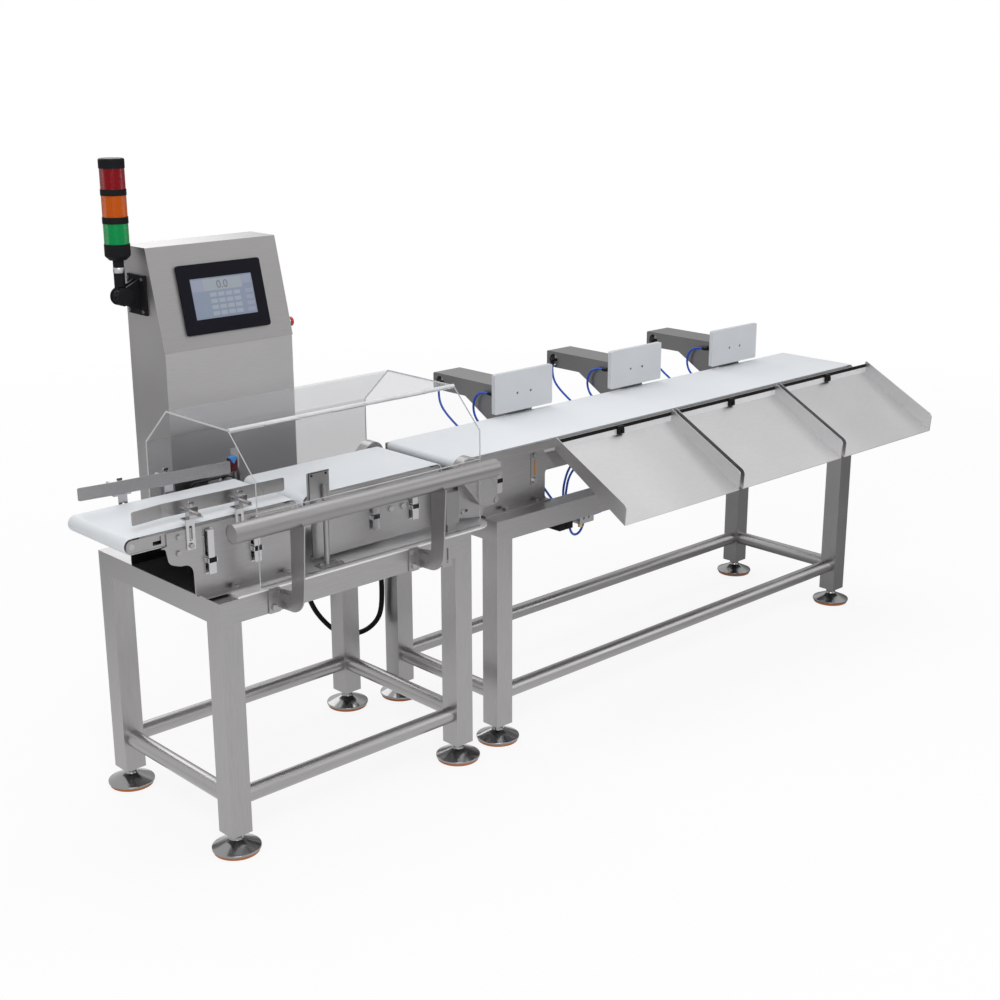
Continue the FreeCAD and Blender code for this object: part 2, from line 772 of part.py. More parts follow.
def drive_plate(y):
    """The front link plate, with the motor's shaft hole and a slot for belt tension."""
    x, z = SORT_MOTOR
    plate = link_plate(y).cut(rod(x, y, z, LINK_T, MOTOR_SHAFT / 2 + 1, ALONG_Y))
    slot_x = SORT_DRIVE - 5.0
    return plate.cut(plate_xz(rectangle(slot_x, slot_x + 22.0, 597.0, 604.0, 3.4), y, LINK_T))


def make_sorting():
    y, width = SORT_Y, SORT_WIDTH
    ends = (SORT_DRIVE, SORT_TAIL)
    keep("sorting_belt", [belt(*ends, SORT_END_R, y, width)])
    reach = LINK_T + SORT_PULLEY_OFFSET + PULLEY_WIDTH
    keep("sorting_drive_roller", [roller(SORT_DRIVE, SORT_END_R, y, width, reach, LINK_T, True)])
    keep("sorting_tail_roller", [roller(SORT_TAIL, SORT_END_R, y, width)])
    keep("sorting_bed", [bed(ends[0] + SORT_END_R + 2, ends[1] - SORT_END_R - 2, y, width)])
    rails = [
        side_rail(*ends, SORT_END_R, y - SIDE_RAIL_T, SORT_LOW),
        side_rail(*ends, SORT_END_R, y + width, SORT_LOW),
    ]
    rear_y = y + width - SORT_PLATE_INSET - PLATE_T
    plates = [sort_plate(SORT_PLATE_Y, 1), sort_plate(rear_y, -1)]
    front_link = y - SIDE_RAIL_T - LINK_T
    rear_link = y + width + SIDE_RAIL_T
    links = [drive_plate(front_link), link_plate(rear_link)]
    spacers = []
    for x in LINK_BOLT_X:
        front_gap = SORT_PLATE_Y - front_link - LINK_T
        spacers.append(rod(x, front_link + LINK_T, LINK_BOLT_Z, front_gap, 7.0, ALONG_Y))
        spacers.append(rod(x, rear_y + PLATE_T, LINK_BOLT_Z, rear_link - rear_y - PLATE_T, 7.0, ALONG_Y))
    marker = plate_xz(rectangle(*MARKER, 3.0), SORT_PLATE_Y - 2, 2.0)
    fixed, lever = latch(*SORT_LATCH, SORT_PLATE_Y)
    keep("sorting_side_plates", rails + plates + links + spacers + [marker] + fixed)
    keep("sorting_latch_lever", [lever])
    post = 10.0
    for x in FRAME_POSTS:
        top = BELT_TOP - SIDE_RAIL_DROP - 2
        front = y - SIDE_RAIL_T
        back = y + width + SIDE_RAIL_T
        keep("top_frames", [
            block(x - post / 2, x + post / 2, front - post, front, STAND_TOP, top),
            block(x - HALF, x + HALF, back, back + 6.0, STAND_TOP, top),
        ])


# Guide rails

GUIDE_ROD_Z = GUIDE_LOW + 10.0
FRONT_GUIDE = ((-139.0, 75.0), (-68.0, 83.0), (220.0, 74.0))
REAR_GUIDE = ((-131.0, 296.0), (-63.0, 287.0), (214.0, 261.0))
REAR_ROD_X = (-35.0, 75.0)


def guide_y(path, x):
    """Where a guide rail's path lies at this X."""
    for a, b in zip(path, path[1:]):
        if a[0] <= x <= b[0]:
            return a[1] + (b[1] - a[1]) * (x - a[0]) / (b[0] - a[0])
    return path[-1][1]


def guide_rail(path, rods, out):
    """A rail of flat steel on edge with two round rods that slide in their clamps."""
    section = strip(path if out > 0 else path[::-1], GUIDE_T)
    rail = plate_xy(section, GUIDE_LOW, GUIDE_HEIGHT)
    low, top = GUIDE_LOW, GUIDE_LOW + GUIDE_HEIGHT
    ys = [p[1] for p in path]
    frame = rectangle(path[0][0], path[-1][0], low, top, GUIDE_CORNER)
    rail = rail.common(plate_xz(frame, min(ys) - 20, max(ys) - min(ys) + 40))
    parts = [rail]
    for x in rods:
        start = guide_y(path, x)
        y = start if out > 0 else start - GUIDE_ROD_OUT
        parts.append(rod(x, y, GUIDE_ROD_Z, GUIDE_ROD_OUT, GUIDE_ROD_DIA / 2, ALONG_Y))
    return fuse(parts)


def rail_bracket(x, face, out):
    """A slotted plate on the side plate with an ear that carries the rod's clamp block."""
    low, ear_z = 672.0, GUIDE_ROD_Z - CLAMP_HEIGHT / 2 - PLATE_T
    half = SLOT_PLATE / 2
    y = face if out > 0 else face - PLATE_T
    upright = plate_xz(rectangle(x - half, x + half, low, ear_z + PLATE_T, 3.0), y, PLATE_T)
    slot = rectangle(x - 4.0, x + 4.0, low + 18, ear_z - 16, 3.9)
    upright = upright.cut(plate_xz(slot, y, PLATE_T))
    ear_y = (y, y + CLAMP) if out > 0 else (y + PLATE_T - CLAMP, y + PLATE_T)
    ear = block(x - 20, x + 20, *ear_y, ear_z, ear_z + PLATE_T)
    clamp_y = ear_y[0] + 2
    clamp = block(
        x - 10, x + 10, clamp_y, clamp_y + CLAMP - 4, ear_z + PLATE_T, ear_z + PLATE_T + CLAMP_HEIGHT
    )
    bore = rod(x, clamp_y, GUIDE_ROD_Z, CLAMP, GUIDE_ROD_DIA / 2 + SHAFT_PLAY, ALONG_Y)
    top = ear_z + PLATE_T + CLAMP_HEIGHT
    stem = rod(x, clamp_y + CLAMP / 2 - 2, top, 5.0, 3.0, ALONG_Z)
    wing = plate_xz(
        [(x - 12, top + 13, 3.0), (x - 4, top + 4, 1.0), (x + 4, top + 4, 1.0), (x + 12, top + 13, 3.0),
         (x + 4, top + 11, 2.0), (x - 4, top + 11, 2.0)],
        clamp_y + CLAMP / 2 - 3.5,
        3.0,
    )
    return [fuse([upright, ear]), clamp.cut(bore), fuse([stem, wing])]


def make_guides():
    keep("guide_rail_front", [guide_rail(FRONT_GUIDE, GUIDE_ROD_X, -1)])
    keep("guide_rail_rear", [guide_rail(REAR_GUIDE, REAR_ROD_X, 1)])
    for x in GUIDE_ROD_X:
        keep("rail_brackets", rail_bracket(x, INFEED_FACE, -1))
    for x in REAR_ROD_X:
        keep("rail_brackets", rail_bracket(x, INFEED_BACK + PLATE_T, 1))


# Photo eye and reflector


def make_eye():
    """A diffuse eye behind the belt looks at a reflector on a post in front of it."""
    foot_part = plate_xy(rectangle(POST_X - 27, POST_X + 35, POST_Y - 17, POST_Y + 11, 3.0), DECK_TOP, FOOT_T)
    post = rod(POST_X, POST_Y, DECK_TOP, POST_TOP - DECK_TOP, POST_DIA / 2, ALONG_Z)
    back = POST_Y + POST_DIA / 2 - 1
    carrier = plate_xz(rectangle(258.0, 312.0, 718.0, 777.0, 3.0), back, 2.5)
    prism = plate_xz(rectangle(260.0, 310.0, 720.0, 775.0, 3.0), back + 2.5, 7.0)
    keep("reflector", [fuse([foot_part, post, carrier]), prism])
    rear = INFEED_BACK + PLATE_T + PULLEY_OFFSET + PULLEY_WIDTH + 2
    half = 10.5
    bracket = plate_xz(rectangle(EYE_X - half, EYE_X + half, DECK_TOP, EYE_TOP, 2.0), rear, 2.0)
    slot = plate_xz(rectangle(EYE_X - 2.5, EYE_X + 2.5, 700.0, 728.0, 2.4), rear, 2.0)
    ledge = block(EYE_X - half, EYE_X + half, rear, rear + 26.0, DECK_TOP, DECK_TOP + 2.0)
    eye_x = EYE_X - 12.0
    eye = plate_xz(rectangle(eye_x - 9.5, eye_x + 9.5, 731.0, 764.0, 2.5), rear - 13.0, 13.0)
    lens = rod(eye_x, rear - 14.0, 743.0, 1.0, 6.5, ALONG_Y)
    keep("photo_eye", [fuse([bracket.cut(slot), ledge]), fuse([eye, lens])])


# Clear cover

COVER_END = COVER_X + COVER_LENGTH
COVER_SHOULDER = 801.0
COVER_BREAK = 794.0
COVER_TOP_REAR = 338.0
HINGE_Y = 103.0
HINGE_Z = COVER_TOP - 2.0


def make_cover():
    """A fixed shell over the back and top, and a flap hinged along the front ridge."""
    reach = HINGE_DIA / 2 + 0.6
    path = [
        (COVER_REAR, DECK_TOP),
        (COVER_REAR, COVER_SHOULDER),
        (COVER_TOP_REAR, COVER_TOP),
        (HINGE_Y + reach, COVER_TOP),
    ]
    shell = plate_yz(strip(path, COVER_T, 2.0), COVER_X, COVER_LENGTH)
    slope = math.atan2(COVER_TOP - COVER_BREAK, HINGE_Y - COVER_FRONT)
    dy, dz = math.cos(slope), math.sin(slope)
    flap_top = (HINGE_Y - reach * dy - dz * COVER_T / 2, HINGE_Z - reach * dz + dy * COVER_T / 2)
    path = [flap_top, (COVER_FRONT, COVER_BREAK), (COVER_FRONT, COVER_SPLIT)]
    flap = plate_yz(strip(path, COVER_T, 2.0), COVER_X, COVER_LENGTH)
    pitch = COVER_LENGTH / HINGE_COUNT
    pin = rod(COVER_X, HINGE_Y, HINGE_Z, COVER_LENGTH, HINGE_PIN / 2, ALONG_X)
    bore = rod(COVER_X, HINGE_Y, HINGE_Z, COVER_LENGTH, HINGE_PIN / 2 + HINGE_PLAY, ALONG_X)
    for i in range(HINGE_COUNT):
        x = COVER_X + i * pitch + 0.4
        length = pitch - 0.8
        knuckle = rod(x, HINGE_Y, HINGE_Z, length, HINGE_DIA / 2, ALONG_X)
        if i % 2 == 0:
            leaf = block(x, x + length, HINGE_Y, HINGE_Y + reach + 2, COVER_TOP - COVER_T, COVER_TOP)
            shell = shell.fuse(knuckle.fuse(leaf))
        else:
            far = (HINGE_Y - (reach + 2) * dy, HINGE_Z - (reach + 2) * dz)
            side = (dz * COVER_T / 2, dy * COVER_T / 2)
            corners = [
                (HINGE_Y - side[0], HINGE_Z + side[1], 0.0),
                (far[0] - side[0], far[1] + side[1], 0.0),
                (far[0] + side[0], far[1] - side[1], 0.0),
                (HINGE_Y + side[0], HINGE_Z - side[1], 0.0),
            ]
            flap = flap.fuse(knuckle.fuse(plate_yz(corners, x, length)))
    panel = block(COVER_X, COVER_END, COVER_FRONT, COVER_FRONT + COVER_T, DECK_TOP, COVER_SPLIT - 1)
    keep("cover_panels", [shell.cut(bore).removeSplitter(), pin, panel])
    keep("cover_flap", [flap.cut(bore).removeSplitter()])


# Guard tube and the brackets along the front

GUARD_OUTLINE = (
    (-94.0, 716.0, 2.0), (-86.0, 590.0, 30.0), (-80.0, 524.0, 44.0), (0.0, 521.0, 6.0),
    (0.0, 563.0, 4.0), (-44.0, 567.0, 8.0), (-47.0, 716.0, 2.0),
)
GUARD_PLUG = 3.0
GUARD_PLUG_IN = 1.0


def make_guard():
    bore = GUARD_DIA / 2 - GUARD_WALL
    plugs = [
        rod(x, GUARD_Y, GUARD_Z, GUARD_PLUG, bore, ALONG_X)
        for x in (GUARD_X + GUARD_PLUG_IN, GUARD_X + GUARD_LENGTH - GUARD_PLUG_IN - GUARD_PLUG)
    ]
    pipe = tube(GUARD_X, GUARD_Y, GUARD_Z, GUARD_LENGTH, GUARD_DIA / 2, GUARD_WALL, ALONG_X)
    keep("guard_tube", [pipe] + plugs)
    saddle = rod(GUARD_X, GUARD_Y, GUARD_Z, GUARD_LENGTH, GUARD_DIA / 2, ALONG_X)
    for x in GUARD_PLATES:
        plate = plate_yz(list(GUARD_OUTLINE), x - PLATE_T / 2, PLATE_T).cut(saddle)
        left = x - PLATE_T / 2
        flat = plate_xz(rectangle(left - 29, left, 514.0, 568.0, 3.0), LEFT_Y - PLATE_T, PLATE_T)
        leg_part = block(left - PLATE_T, left, LEFT_Y - 36, LEFT_Y, 536.0, 558.0)
        keep("guard_brackets", [plate, fuse([flat, leg_part])])
    x = LEFT_X + LEFT_LENGTH - TUBE - 40
    strap = plate_xz(rectangle(x, x + 28, 500.0, STAND_TOP, 2.0), LEFT_Y - PLATE_T, PLATE_T)
    slot = plate_xz(rectangle(x + 11, x + 17, 510.0, 545.0, 2.9), LEFT_Y - PLATE_T, PLATE_T)
    keep("guard_brackets", [strap.cut(slot)])
    terminal_box = plate_xz(rectangle(623.0, 661.0, 588.0, 663.0, 3.0), 20.0, 24.0)
    foot_block = block(630.0, 654.0, 24.0, 40.0, DECK_TOP, 588.0)
    keep("guard_brackets", [terminal_box, foot_block])


# Control cabinet

CAB_END = CAB_X + CAB_WIDTH
CAB_BACK = CAB_Y + CAB_DEPTH - DOOR_T - DOOR_GAP
FACE_TOP_Y = CAB_Y + CAB_DEPTH - CAB_TOP_DEPTH
FACE_TILT = math.atan2(FACE_TOP_Y - CAB_Y, CAB_TOP - CAB_BEND)
DOOR_HINGE_X = CAB_END + 5.0
DOOR_HINGE_Y = CAB_BACK + 8.0
STEM_R = 8.0


def on_face(shape):
    """Puts a shape modelled in X, up the slope, and out of the face (-Y) onto the slanted face."""
    rise = (SCREEN_Z - CAB_BEND) * math.tan(FACE_TILT)
    placed = shape.copy()
    placed.rotate(V(0, 0, 0), V(1, 0, 0), -math.degrees(FACE_TILT))
    placed.translate(V(SCREEN_X, CAB_Y + rise, SCREEN_Z))
    return placed


def make_cabinet():
    y0, y1, top = CAB_Y, CAB_BACK, CAB_TOP
    profile = [(y0, CAB_LOW, 0.0), (y0, CAB_BEND, 0.0), (FACE_TOP_Y, top, 0.0), (y1, top, 0.0), (y1, CAB_LOW, 0.0)]
    body = plate_yz(profile, CAB_X, CAB_WIDTH)
    w = CAB_WALL
    slant = w / math.cos(FACE_TILT)
    bend_y = w * math.tan(FACE_TILT / 2)
    inner = [
        (y0 + w, CAB_LOW + w, 0.0),
        (y0 + w, CAB_BEND - bend_y, 0.0),
        (FACE_TOP_Y + slant - w * math.tan(FACE_TILT), top - w, 0.0),
        (y1, top - w, 0.0),
        (y1, CAB_LOW + w, 0.0),
    ]
    body = body.cut(plate_yz(inner, CAB_X + w, CAB_WIDTH - 2 * w))
    path = [(y0, CAB_BEND), (FACE_TOP_Y, top), (CAB_Y + CAB_DEPTH, top)]
    hood = plate_yz(strip(path, CAB_HOOD, 0.0), CAB_X - CAB_HOOD, CAB_WIDTH + 2 * CAB_HOOD)
    half_w, half_h = SCREEN_WIDTH / 2, SCREEN_HEIGHT / 2
    bezel = plate_xz(rectangle(-half_w, half_w, -half_h, half_h, 6.0), -SCREEN_T - CAB_HOOD, SCREEN_T)
    glass = rectangle(-DISPLAY_WIDTH / 2, DISPLAY_WIDTH / 2, -DISPLAY_HEIGHT / 2, DISPLAY_HEIGHT / 2)
    bezel = bezel.cut(plate_xz(glass, -SCREEN_T - CAB_HOOD, 1.2))
    housing = block(-half_w + 14, half_w - 14, -CAB_HOOD - 1, 32, -half_h + 12, half_h - 12)
    opening = block(-half_w + 13, half_w - 13, -CAB_HOOD - 2, 40, -half_h + 11, half_h - 11)
    keep("hmi_panel", [on_face(fuse([bezel, housing]))])
    body = body.cut(on_face(opening))
    hood = hood.cut(on_face(opening))
    hole = rod(CAB_END - 10, BUTTON_Y, BUTTON_Z, 20, STEM_R + 0.5, ALONG_X)
    leaves = []
    for z in (CAB_LOW + 60, CAB_TOP - 90):
        leaf = block(CAB_END, CAB_END + 2, CAB_BACK - 30, DOOR_HINGE_Y - 3.0, z, z + 24)
        arm = block(CAB_END, DOOR_HINGE_X, DOOR_HINGE_Y - 4.4, DOOR_HINGE_Y - 2.4, z, z + 24)
        ring = rod(DOOR_HINGE_X, DOOR_HINGE_Y, z, 24, 4.5, ALONG_Z)
        pin = rod(DOOR_HINGE_X, DOOR_HINGE_Y, z + 24, 24, 2.5, ALONG_Z)
        leaves.append(fuse([leaf, arm, ring, pin]))
    keep("cabinet_body", [body.cut(hole), hood] + leaves)
    door_low, door_top = CAB_LOW + 1, CAB_TOP - 1
    y0, y1 = CAB_BACK + DOOR_GAP, CAB_Y + CAB_DEPTH
    door = block(CAB_X + 1, CAB_END - 1, y0, y1, door_low, door_top)
    door = door.cut(block(CAB_X + 3, CAB_END - 3, y0, y1 - 2, door_low + 2, door_top - 2))
    lock = rod(CAB_X + 22, y1, (door_low + door_top) / 2, 6, 11, ALONG_Y)
    parts = [door, lock]
    for z in (CAB_LOW + 84.3, CAB_TOP - 65.7):
        ring = rod(DOOR_HINGE_X, DOOR_HINGE_Y, z, 23.4, 4.5, ALONG_Z)
        arm = block(CAB_END - 2, DOOR_HINGE_X, DOOR_HINGE_Y + 1, DOOR_HINGE_Y + 4, z, z + 23.4)
        bore = rod(DOOR_HINGE_X, DOOR_HINGE_Y, z, 23.4, 2.5 + SHAFT_PLAY, ALONG_Z)
        parts.append(fuse([ring, arm]).cut(bore))
    keep("cabinet_door", [fuse(parts)])


def make_cabinet_stand():
    """A base plate on the rear beam with two gussets behind it."""
    y1 = CAB_BACK - 4
    base = block(CAB_X + 17, CAB_END - 22, LEFT_Y + DECK_DEPTH + 2, y1, STAND_TOP, CAB_LOW)
    beam = LEFT_Y + LEFT_DEPTH
    corners = [
        (beam, STAND_TOP, 0.0), (beam, BEAM_LOW + 2, 0.0), (beam + 14, BEAM_LOW + 2, 6.0),
        (y1 - 4, STAND_TOP - 8, 4.0), (y1 - 4, STAND_TOP, 0.0),
    ]
    gussets = [plate_yz(corners, x, 5.0) for x in (CAB_X + 40, CAB_END - 45)]
    keep("cabinet_stand", [fuse([base] + gussets)])


def make_switchgear():
    """The controller in the cabinet, the stop button's collar, and the cable's gland."""
    controller = block(
        CAB_X + 60, CAB_END - 60, CAB_Y + CAB_WALL, CAB_Y + CAB_WALL + 46, CAB_LOW + 80, CAB_LOW + 260
    )
    collar = rod(CAB_END, BUTTON_Y, BUTTON_Z, 5.0, BUTTON_DIA / 2 + 3, ALONG_X)
    collar = collar.cut(rod(CAB_END, BUTTON_Y, BUTTON_Z, 5.0, STEM_R + SHAFT_PLAY, ALONG_X))
    contact = block(CAB_END - 52, CAB_END - 26, BUTTON_Y - 7, BUTTON_Y + 19, BUTTON_Z - 16, BUTTON_Z + 10)
    rail = block(CAB_END - 26, CAB_END - CAB_WALL, BUTTON_Y + 10, BUTTON_Y + 13, BUTTON_Z - 18, BUTTON_Z + 18)
    x, y = CABLE_ROUTE[0][:2]
    gland = rod(x, y, CABLE_ROUTE[0][2], CAB_LOW - CABLE_ROUTE[0][2], 10.0, ALONG_Z)
    keep("control_gear", [controller, collar, fuse([contact, rail]), gland])
    head = rod(CAB_END + 9.5, BUTTON_Y, BUTTON_Z, 7.0, BUTTON_DIA / 2, ALONG_X)
    stem = rod(CAB_END - 21, BUTTON_Y, BUTTON_Z, 31, STEM_R, ALONG_X)
    keep("stop_button", [fuse([head.makeFillet(2.0, [head.Edges[0]]), stem])])


# Signal tower


def make_tower():
    x, y, z = TOWER_X, TOWER_Y, TOWER_PIVOT
    base_x = CAB_X - 6
    plate = block(base_x, CAB_X, y - 36, y + 36, z - 44, z + 44)
    ears = []
    for ear_y in (y - 11, y + 7):
        corners = [
            (x - 20, z - 20, 19.5), (x + 10, z - 20, 8.0), (base_x, z - 34, 0.0),
            (base_x, z + 34, 0.0), (x + 10, z + 20, 8.0), (x - 20, z + 20, 19.5),
        ]
        ears.append(plate_xz(corners, ear_y, 4.0))
    hinge_pin = rod(x, y - 16, z, 30, 4.0, ALONG_Y)
    mount = fuse([plate] + ears).cut(hinge_pin)
    knob = rod(x, y - 21, z, 10, 20.0, ALONG_Y).cut(rod(x, y - 16, z, 5, 4.0, ALONG_Y))
    for i in range(12):
        a = math.radians(30 * i)
        knob = knob.cut(rod(x + 21.5 * math.cos(a), y - 21, z + 21.5 * math.sin(a), 10, 3.2, ALONG_Y))
    keep("tower_mount", [mount, hinge_pin, knob])
    barrel = rod(x, y - 6.7, z, 13.4, 18.0, ALONG_Y)
    neck = block(x - 10, x + 10, y - 6.7, y + 6.7, z, z + 24)
    pole = rod(x, y, z + 22, 30, 12.0, ALONG_Z)
    silver = rod(x, y, z + 52, 12, 9.5, ALONG_Z)
    top = rod(x, y, z + 64, 16, 12.0, ALONG_Z)
    shape = fuse([barrel, neck, pole, silver, top])
    keep("tower_pole", [shape.cut(rod(x, y - 7, z, 14, 4.0 + SHAFT_PLAY, ALONG_Y))])
    radius = TOWER_DIA / 2
    low = z + 80
    housings = []
    profile = [(0.0, low, 0.0), (radius - 9, low, 0.0), (radius, low + 9, 4.0), (radius, low + 35, 0.0), (0.0, low + 35, 0.0)]
    housings.append(outline(profile, lambda u, v: V(x + u, y, v)).revolve(V(x, y, 0), ALONG_Z, 360))
    levels = [low + 35]
    for name, height, ring in (("lens_green", 44.0, 14.0), ("lens_amber", 46.0, 13.0), ("lens_red", 44.0, 0.0)):
        keep(name, [tube(x, y, levels[-1], height, radius - 1, 3.0, ALONG_Z)])
        levels.append(levels[-1] + height)
        if ring:
            housings.append(rod(x, y, levels[-1], ring, radius, ALONG_Z))
            levels.append(levels[-1] + ring)
    cap = rod(x, y, levels[-1], TOWER_TOP - levels[-1], radius, ALONG_Z)
    housings.append(cap.makeFillet(4.0, [e for e in cap.Edges if e.BoundBox.ZMin > TOWER_TOP - 1]))
    keep("tower_housings", housings)


# Pushers

PUSHER_CENTRES = tuple(PUSHER_X + i * PUSHER_PITCH for i in range(PUSHERS))
ARM_Y = SORT_BACK + SIDE_RAIL_T
FRONT_PORT_Y = 355.0
FRONT_PORT_OUT = 12.0
REAR_PORT_Y = 553.0
REAR_PORT_Z = 766.0
REAR_PORT_OUT = 8.0


def make_pusher(index, x):
    """A white paddle on twin rods, its cylinder, and the folded arm that carries it."""
    half = ARM_WIDTH / 2
    side = [
        (ARM_Y, ARM_TOP, 0.0), (ARM_Y, 656.0, 0.0), (366.0, 693.0, 4.0), (457.0, 745.0, 6.0),
        (ARM_END, 745.0, 4.0), (ARM_END, ARM_TOP, 4.0),
    ]
    arm = plate_yz(side, x - half, ARM_WIDTH)
    inside = block(
        x - half + ARM_T, x + half - ARM_T, ARM_Y, ARM_END - ARM_T, 600.0, ARM_TOP - ARM_T
    )
    port = rod(x - half - 1, ARM_END - 26, ARM_TOP - 23, ARM_T + 2, 16.0, ALONG_X)
    arm = arm.cut(inside).cut(port)
    flange = block(x - half + 1, x + half - 1, ARM_Y, ARM_Y + ARM_T, 656.0, 735.0)
    keep("pusher_arms", [fuse([arm, flange])])
    z1 = ARM_TOP - ARM_T
    cylinder = block(x - CYL_WIDTH / 2, x + CYL_WIDTH / 2, CYL_Y, CYL_Y + CYL_LENGTH, z1 - CYL_HEIGHT, z1)
    rods = []
    for dx in (-ROD_PITCH / 2, ROD_PITCH / 2):
        bore = rod(x + dx, CYL_Y, ROD_Z, CYL_LENGTH - 6, ROD_DIA / 2 + SHAFT_PLAY, ALONG_Y)
        cylinder = cylinder.cut(bore)
        rods.append(rod(x + dx, PADDLE_Y + PADDLE_T + 5, ROD_Z, ROD_LENGTH, ROD_DIA / 2, ALONG_Y))
    elbow_y, elbow_z = FRONT_PORT_Y - 11, ROD_Z - 4
    left = x - half - FRONT_PORT_OUT
    front = rod(left, elbow_y, elbow_z, x - CYL_WIDTH / 2 - left, 4.5, ALONG_X)
    front = front.fuse(rod(left, elbow_y, elbow_z, FRONT_PORT_Y - elbow_y, 4.5, ALONG_Y))
    front = front.fuse(Part.makeSphere(4.5, V(left, elbow_y, elbow_z)))
    left = x - half - REAR_PORT_OUT
    rear = rod(left, REAR_PORT_Y, REAR_PORT_Z, x - CYL_WIDTH / 2 - left, 4.5, ALONG_X)
    rear = rear.fuse(rod(left, REAR_PORT_Y, REAR_PORT_Z - 14, 14.0, 4.5, ALONG_Z))
    rear = rear.fuse(Part.makeSphere(4.5, V(left, REAR_PORT_Y, REAR_PORT_Z)))
    keep("pusher_cylinders", [cylinder, front.removeSplitter(), rear.removeSplitter()])
    arm_hole = rod(x - half - 1, elbow_y, elbow_z, ARM_T + 2, 7.0, ALONG_X)
    nodes["pusher_arms"][-1] = nodes["pusher_arms"][-1].cut(arm_hole)
    low, top = PADDLE_LOW, PADDLE_LOW + PADDLE_HEIGHT
    paddle = plate_xz(
        rectangle(x - PADDLE_WIDTH / 2, x + PADDLE_WIDTH / 2, low, top, 4.0), PADDLE_Y, PADDLE_T
    )
    bar_y = PADDLE_Y + PADDLE_T
    bar = block(x - 34, x + 34, bar_y, bar_y + 6, ROD_Z - 12, ROD_Z + 12)
    keep("paddle_" + str(index + 1), [paddle, fuse([bar] + rods)])


def make_pushers():
    for i, x in enumerate(PUSHER_CENTRES):
        make_pusher(i, x)


# Chutes

CHUTE_TOP_Z = 690.0


def chute(x0):
    """A folded tray with a raised flange at each side and a lip on the bed's rail."""
    x1 = x0 + CHUTE_WIDTH
    lip = SORT_Y - SIDE_RAIL_T
    path = [(CHUTE_END_Y, CHUTE_END_Z), (lip, CHUTE_TOP_Z), (lip, CHUTE_TOP_Z + 24)]
    sheet = plate_yz(strip(path, CHUTE_T, 2.0), x0, CHUTE_WIDTH)
    side = [
        (CHUTE_END_Y, CHUTE_END_Z, 3.0), (lip, CHUTE_TOP_Z, 2.0), (lip, BELT_TOP + 2, 4.0),
        (CHUTE_END_Y - 4, CHUTE_END_Z + CHUTE_FLANGE + 2, 14.0),
    ]
    flanges = [plate_yz(side, x, CHUTE_T) for x in (x0, x1 - CHUTE_T)]
    return fuse([sheet] + flanges)


def make_chutes():
    for i in range(PUSHERS):
        x0 = CHUTE_X + i * CHUTE_PITCH
        keep("chutes", [chute(x0)])
        middle = x0 + CHUTE_WIDTH / 2 + 14
        y = SORT_Y - SIDE_RAIL_T - CHUTE_T
        keep("fasteners", [
            block(middle - 11, middle + 11, y - 7, y, CHUTE_TOP_Z + 12, CHUTE_TOP_Z + 22)
        ])


# Drives


def motor(x, z, y, pulley_y):
    """A square gear motor with its shaft and toothed pulley towards the back."""
    half = MOTOR_SIZE / 2
    body = plate_xz(rectangle(x - half, x + half, z - half, z + half, 5.0), y - MOTOR_LENGTH, MOTOR_LENGTH)
    shaft = rod(x, y, z, pulley_y + PULLEY_WIDTH - y, MOTOR_SHAFT / 2, ALONG_Y)
    return fuse([body, shaft, rod(x, pulley_y, z, PULLEY_WIDTH, PULLEY_DIA / 2, ALONG_Y)])


def front_motor(x, z, face, pulley_y):
    """The sorting belt's motor behind its plate, with its shaft and toothed pulley towards the front."""
    half = SORT_MOTOR_SIZE / 2
    body = plate_xz(rectangle(x - half, x + half, z - half, z + half, 5.0), face, MOTOR_LENGTH)
    shaft = rod(x, pulley_y, z, face - pulley_y, MOTOR_SHAFT / 2, ALONG_Y)
    return fuse([body, shaft, rod(x, pulley_y, z, PULLEY_WIDTH, PULLEY_DIA / 2, ALONG_Y)])


def slanted(x0, z0, x1, z1, radius, y, depth):
    """A bar with half-round ends between two points of the XZ plane."""
    bar = stadium(0.0, math.hypot(x1 - x0, z1 - z0), 0.0, radius, y, depth)
    bar.rotate(V(0, 0, 0), V(0, 1, 0), -math.degrees(math.atan2(z1 - z0, x1 - x0)))
    bar.translate(V(x0, 0, z0))
    return bar


def drive_belt(ends, pulley_y):
    """A toothed belt as a plain band round two equal pulleys."""
    inner = PULLEY_DIA / 2 + BELT_GAP
    y, depth = pulley_y + 1, PULLEY_WIDTH - 2
    return slanted(*ends, inner + BELT_T, y, depth).cut(slanted(*ends, inner, y, depth))


def drive_guard(ends, y, pulley_y):
    """A guard round a drive belt, closed towards the front and open at the back."""
    depth = pulley_y + PULLEY_WIDTH + 4 - y
    guard = slanted(*ends, DRIVE_GUARD_R, y, depth)
    wall = DRIVE_GUARD_WALL
    guard = guard.cut(slanted(*ends, DRIVE_GUARD_R - wall, y + wall, depth - wall))
    for x, z in (ends[:2], ends[2:]):
        guard = guard.cut(rod(x, y, z, wall, SHAFT_DIA / 2 + 2, ALONG_Y))
    return guard


def front_guard(ends, plate_y):
    """The guard round the sorting belt's drive: open towards its plate, with a soft front edge."""
    y = plate_y - FRONT_GUARD_DEPTH
    wall = DRIVE_GUARD_WALL
    guard = slanted(*ends, FRONT_GUARD_R, y, FRONT_GUARD_DEPTH)
    guard = guard.makeFillet(wall * 0.8, [e for e in guard.Edges if e.BoundBox.YMax < y + wall])
    return guard.cut(slanted(*ends, FRONT_GUARD_R - wall, y + wall, FRONT_GUARD_DEPTH - wall))


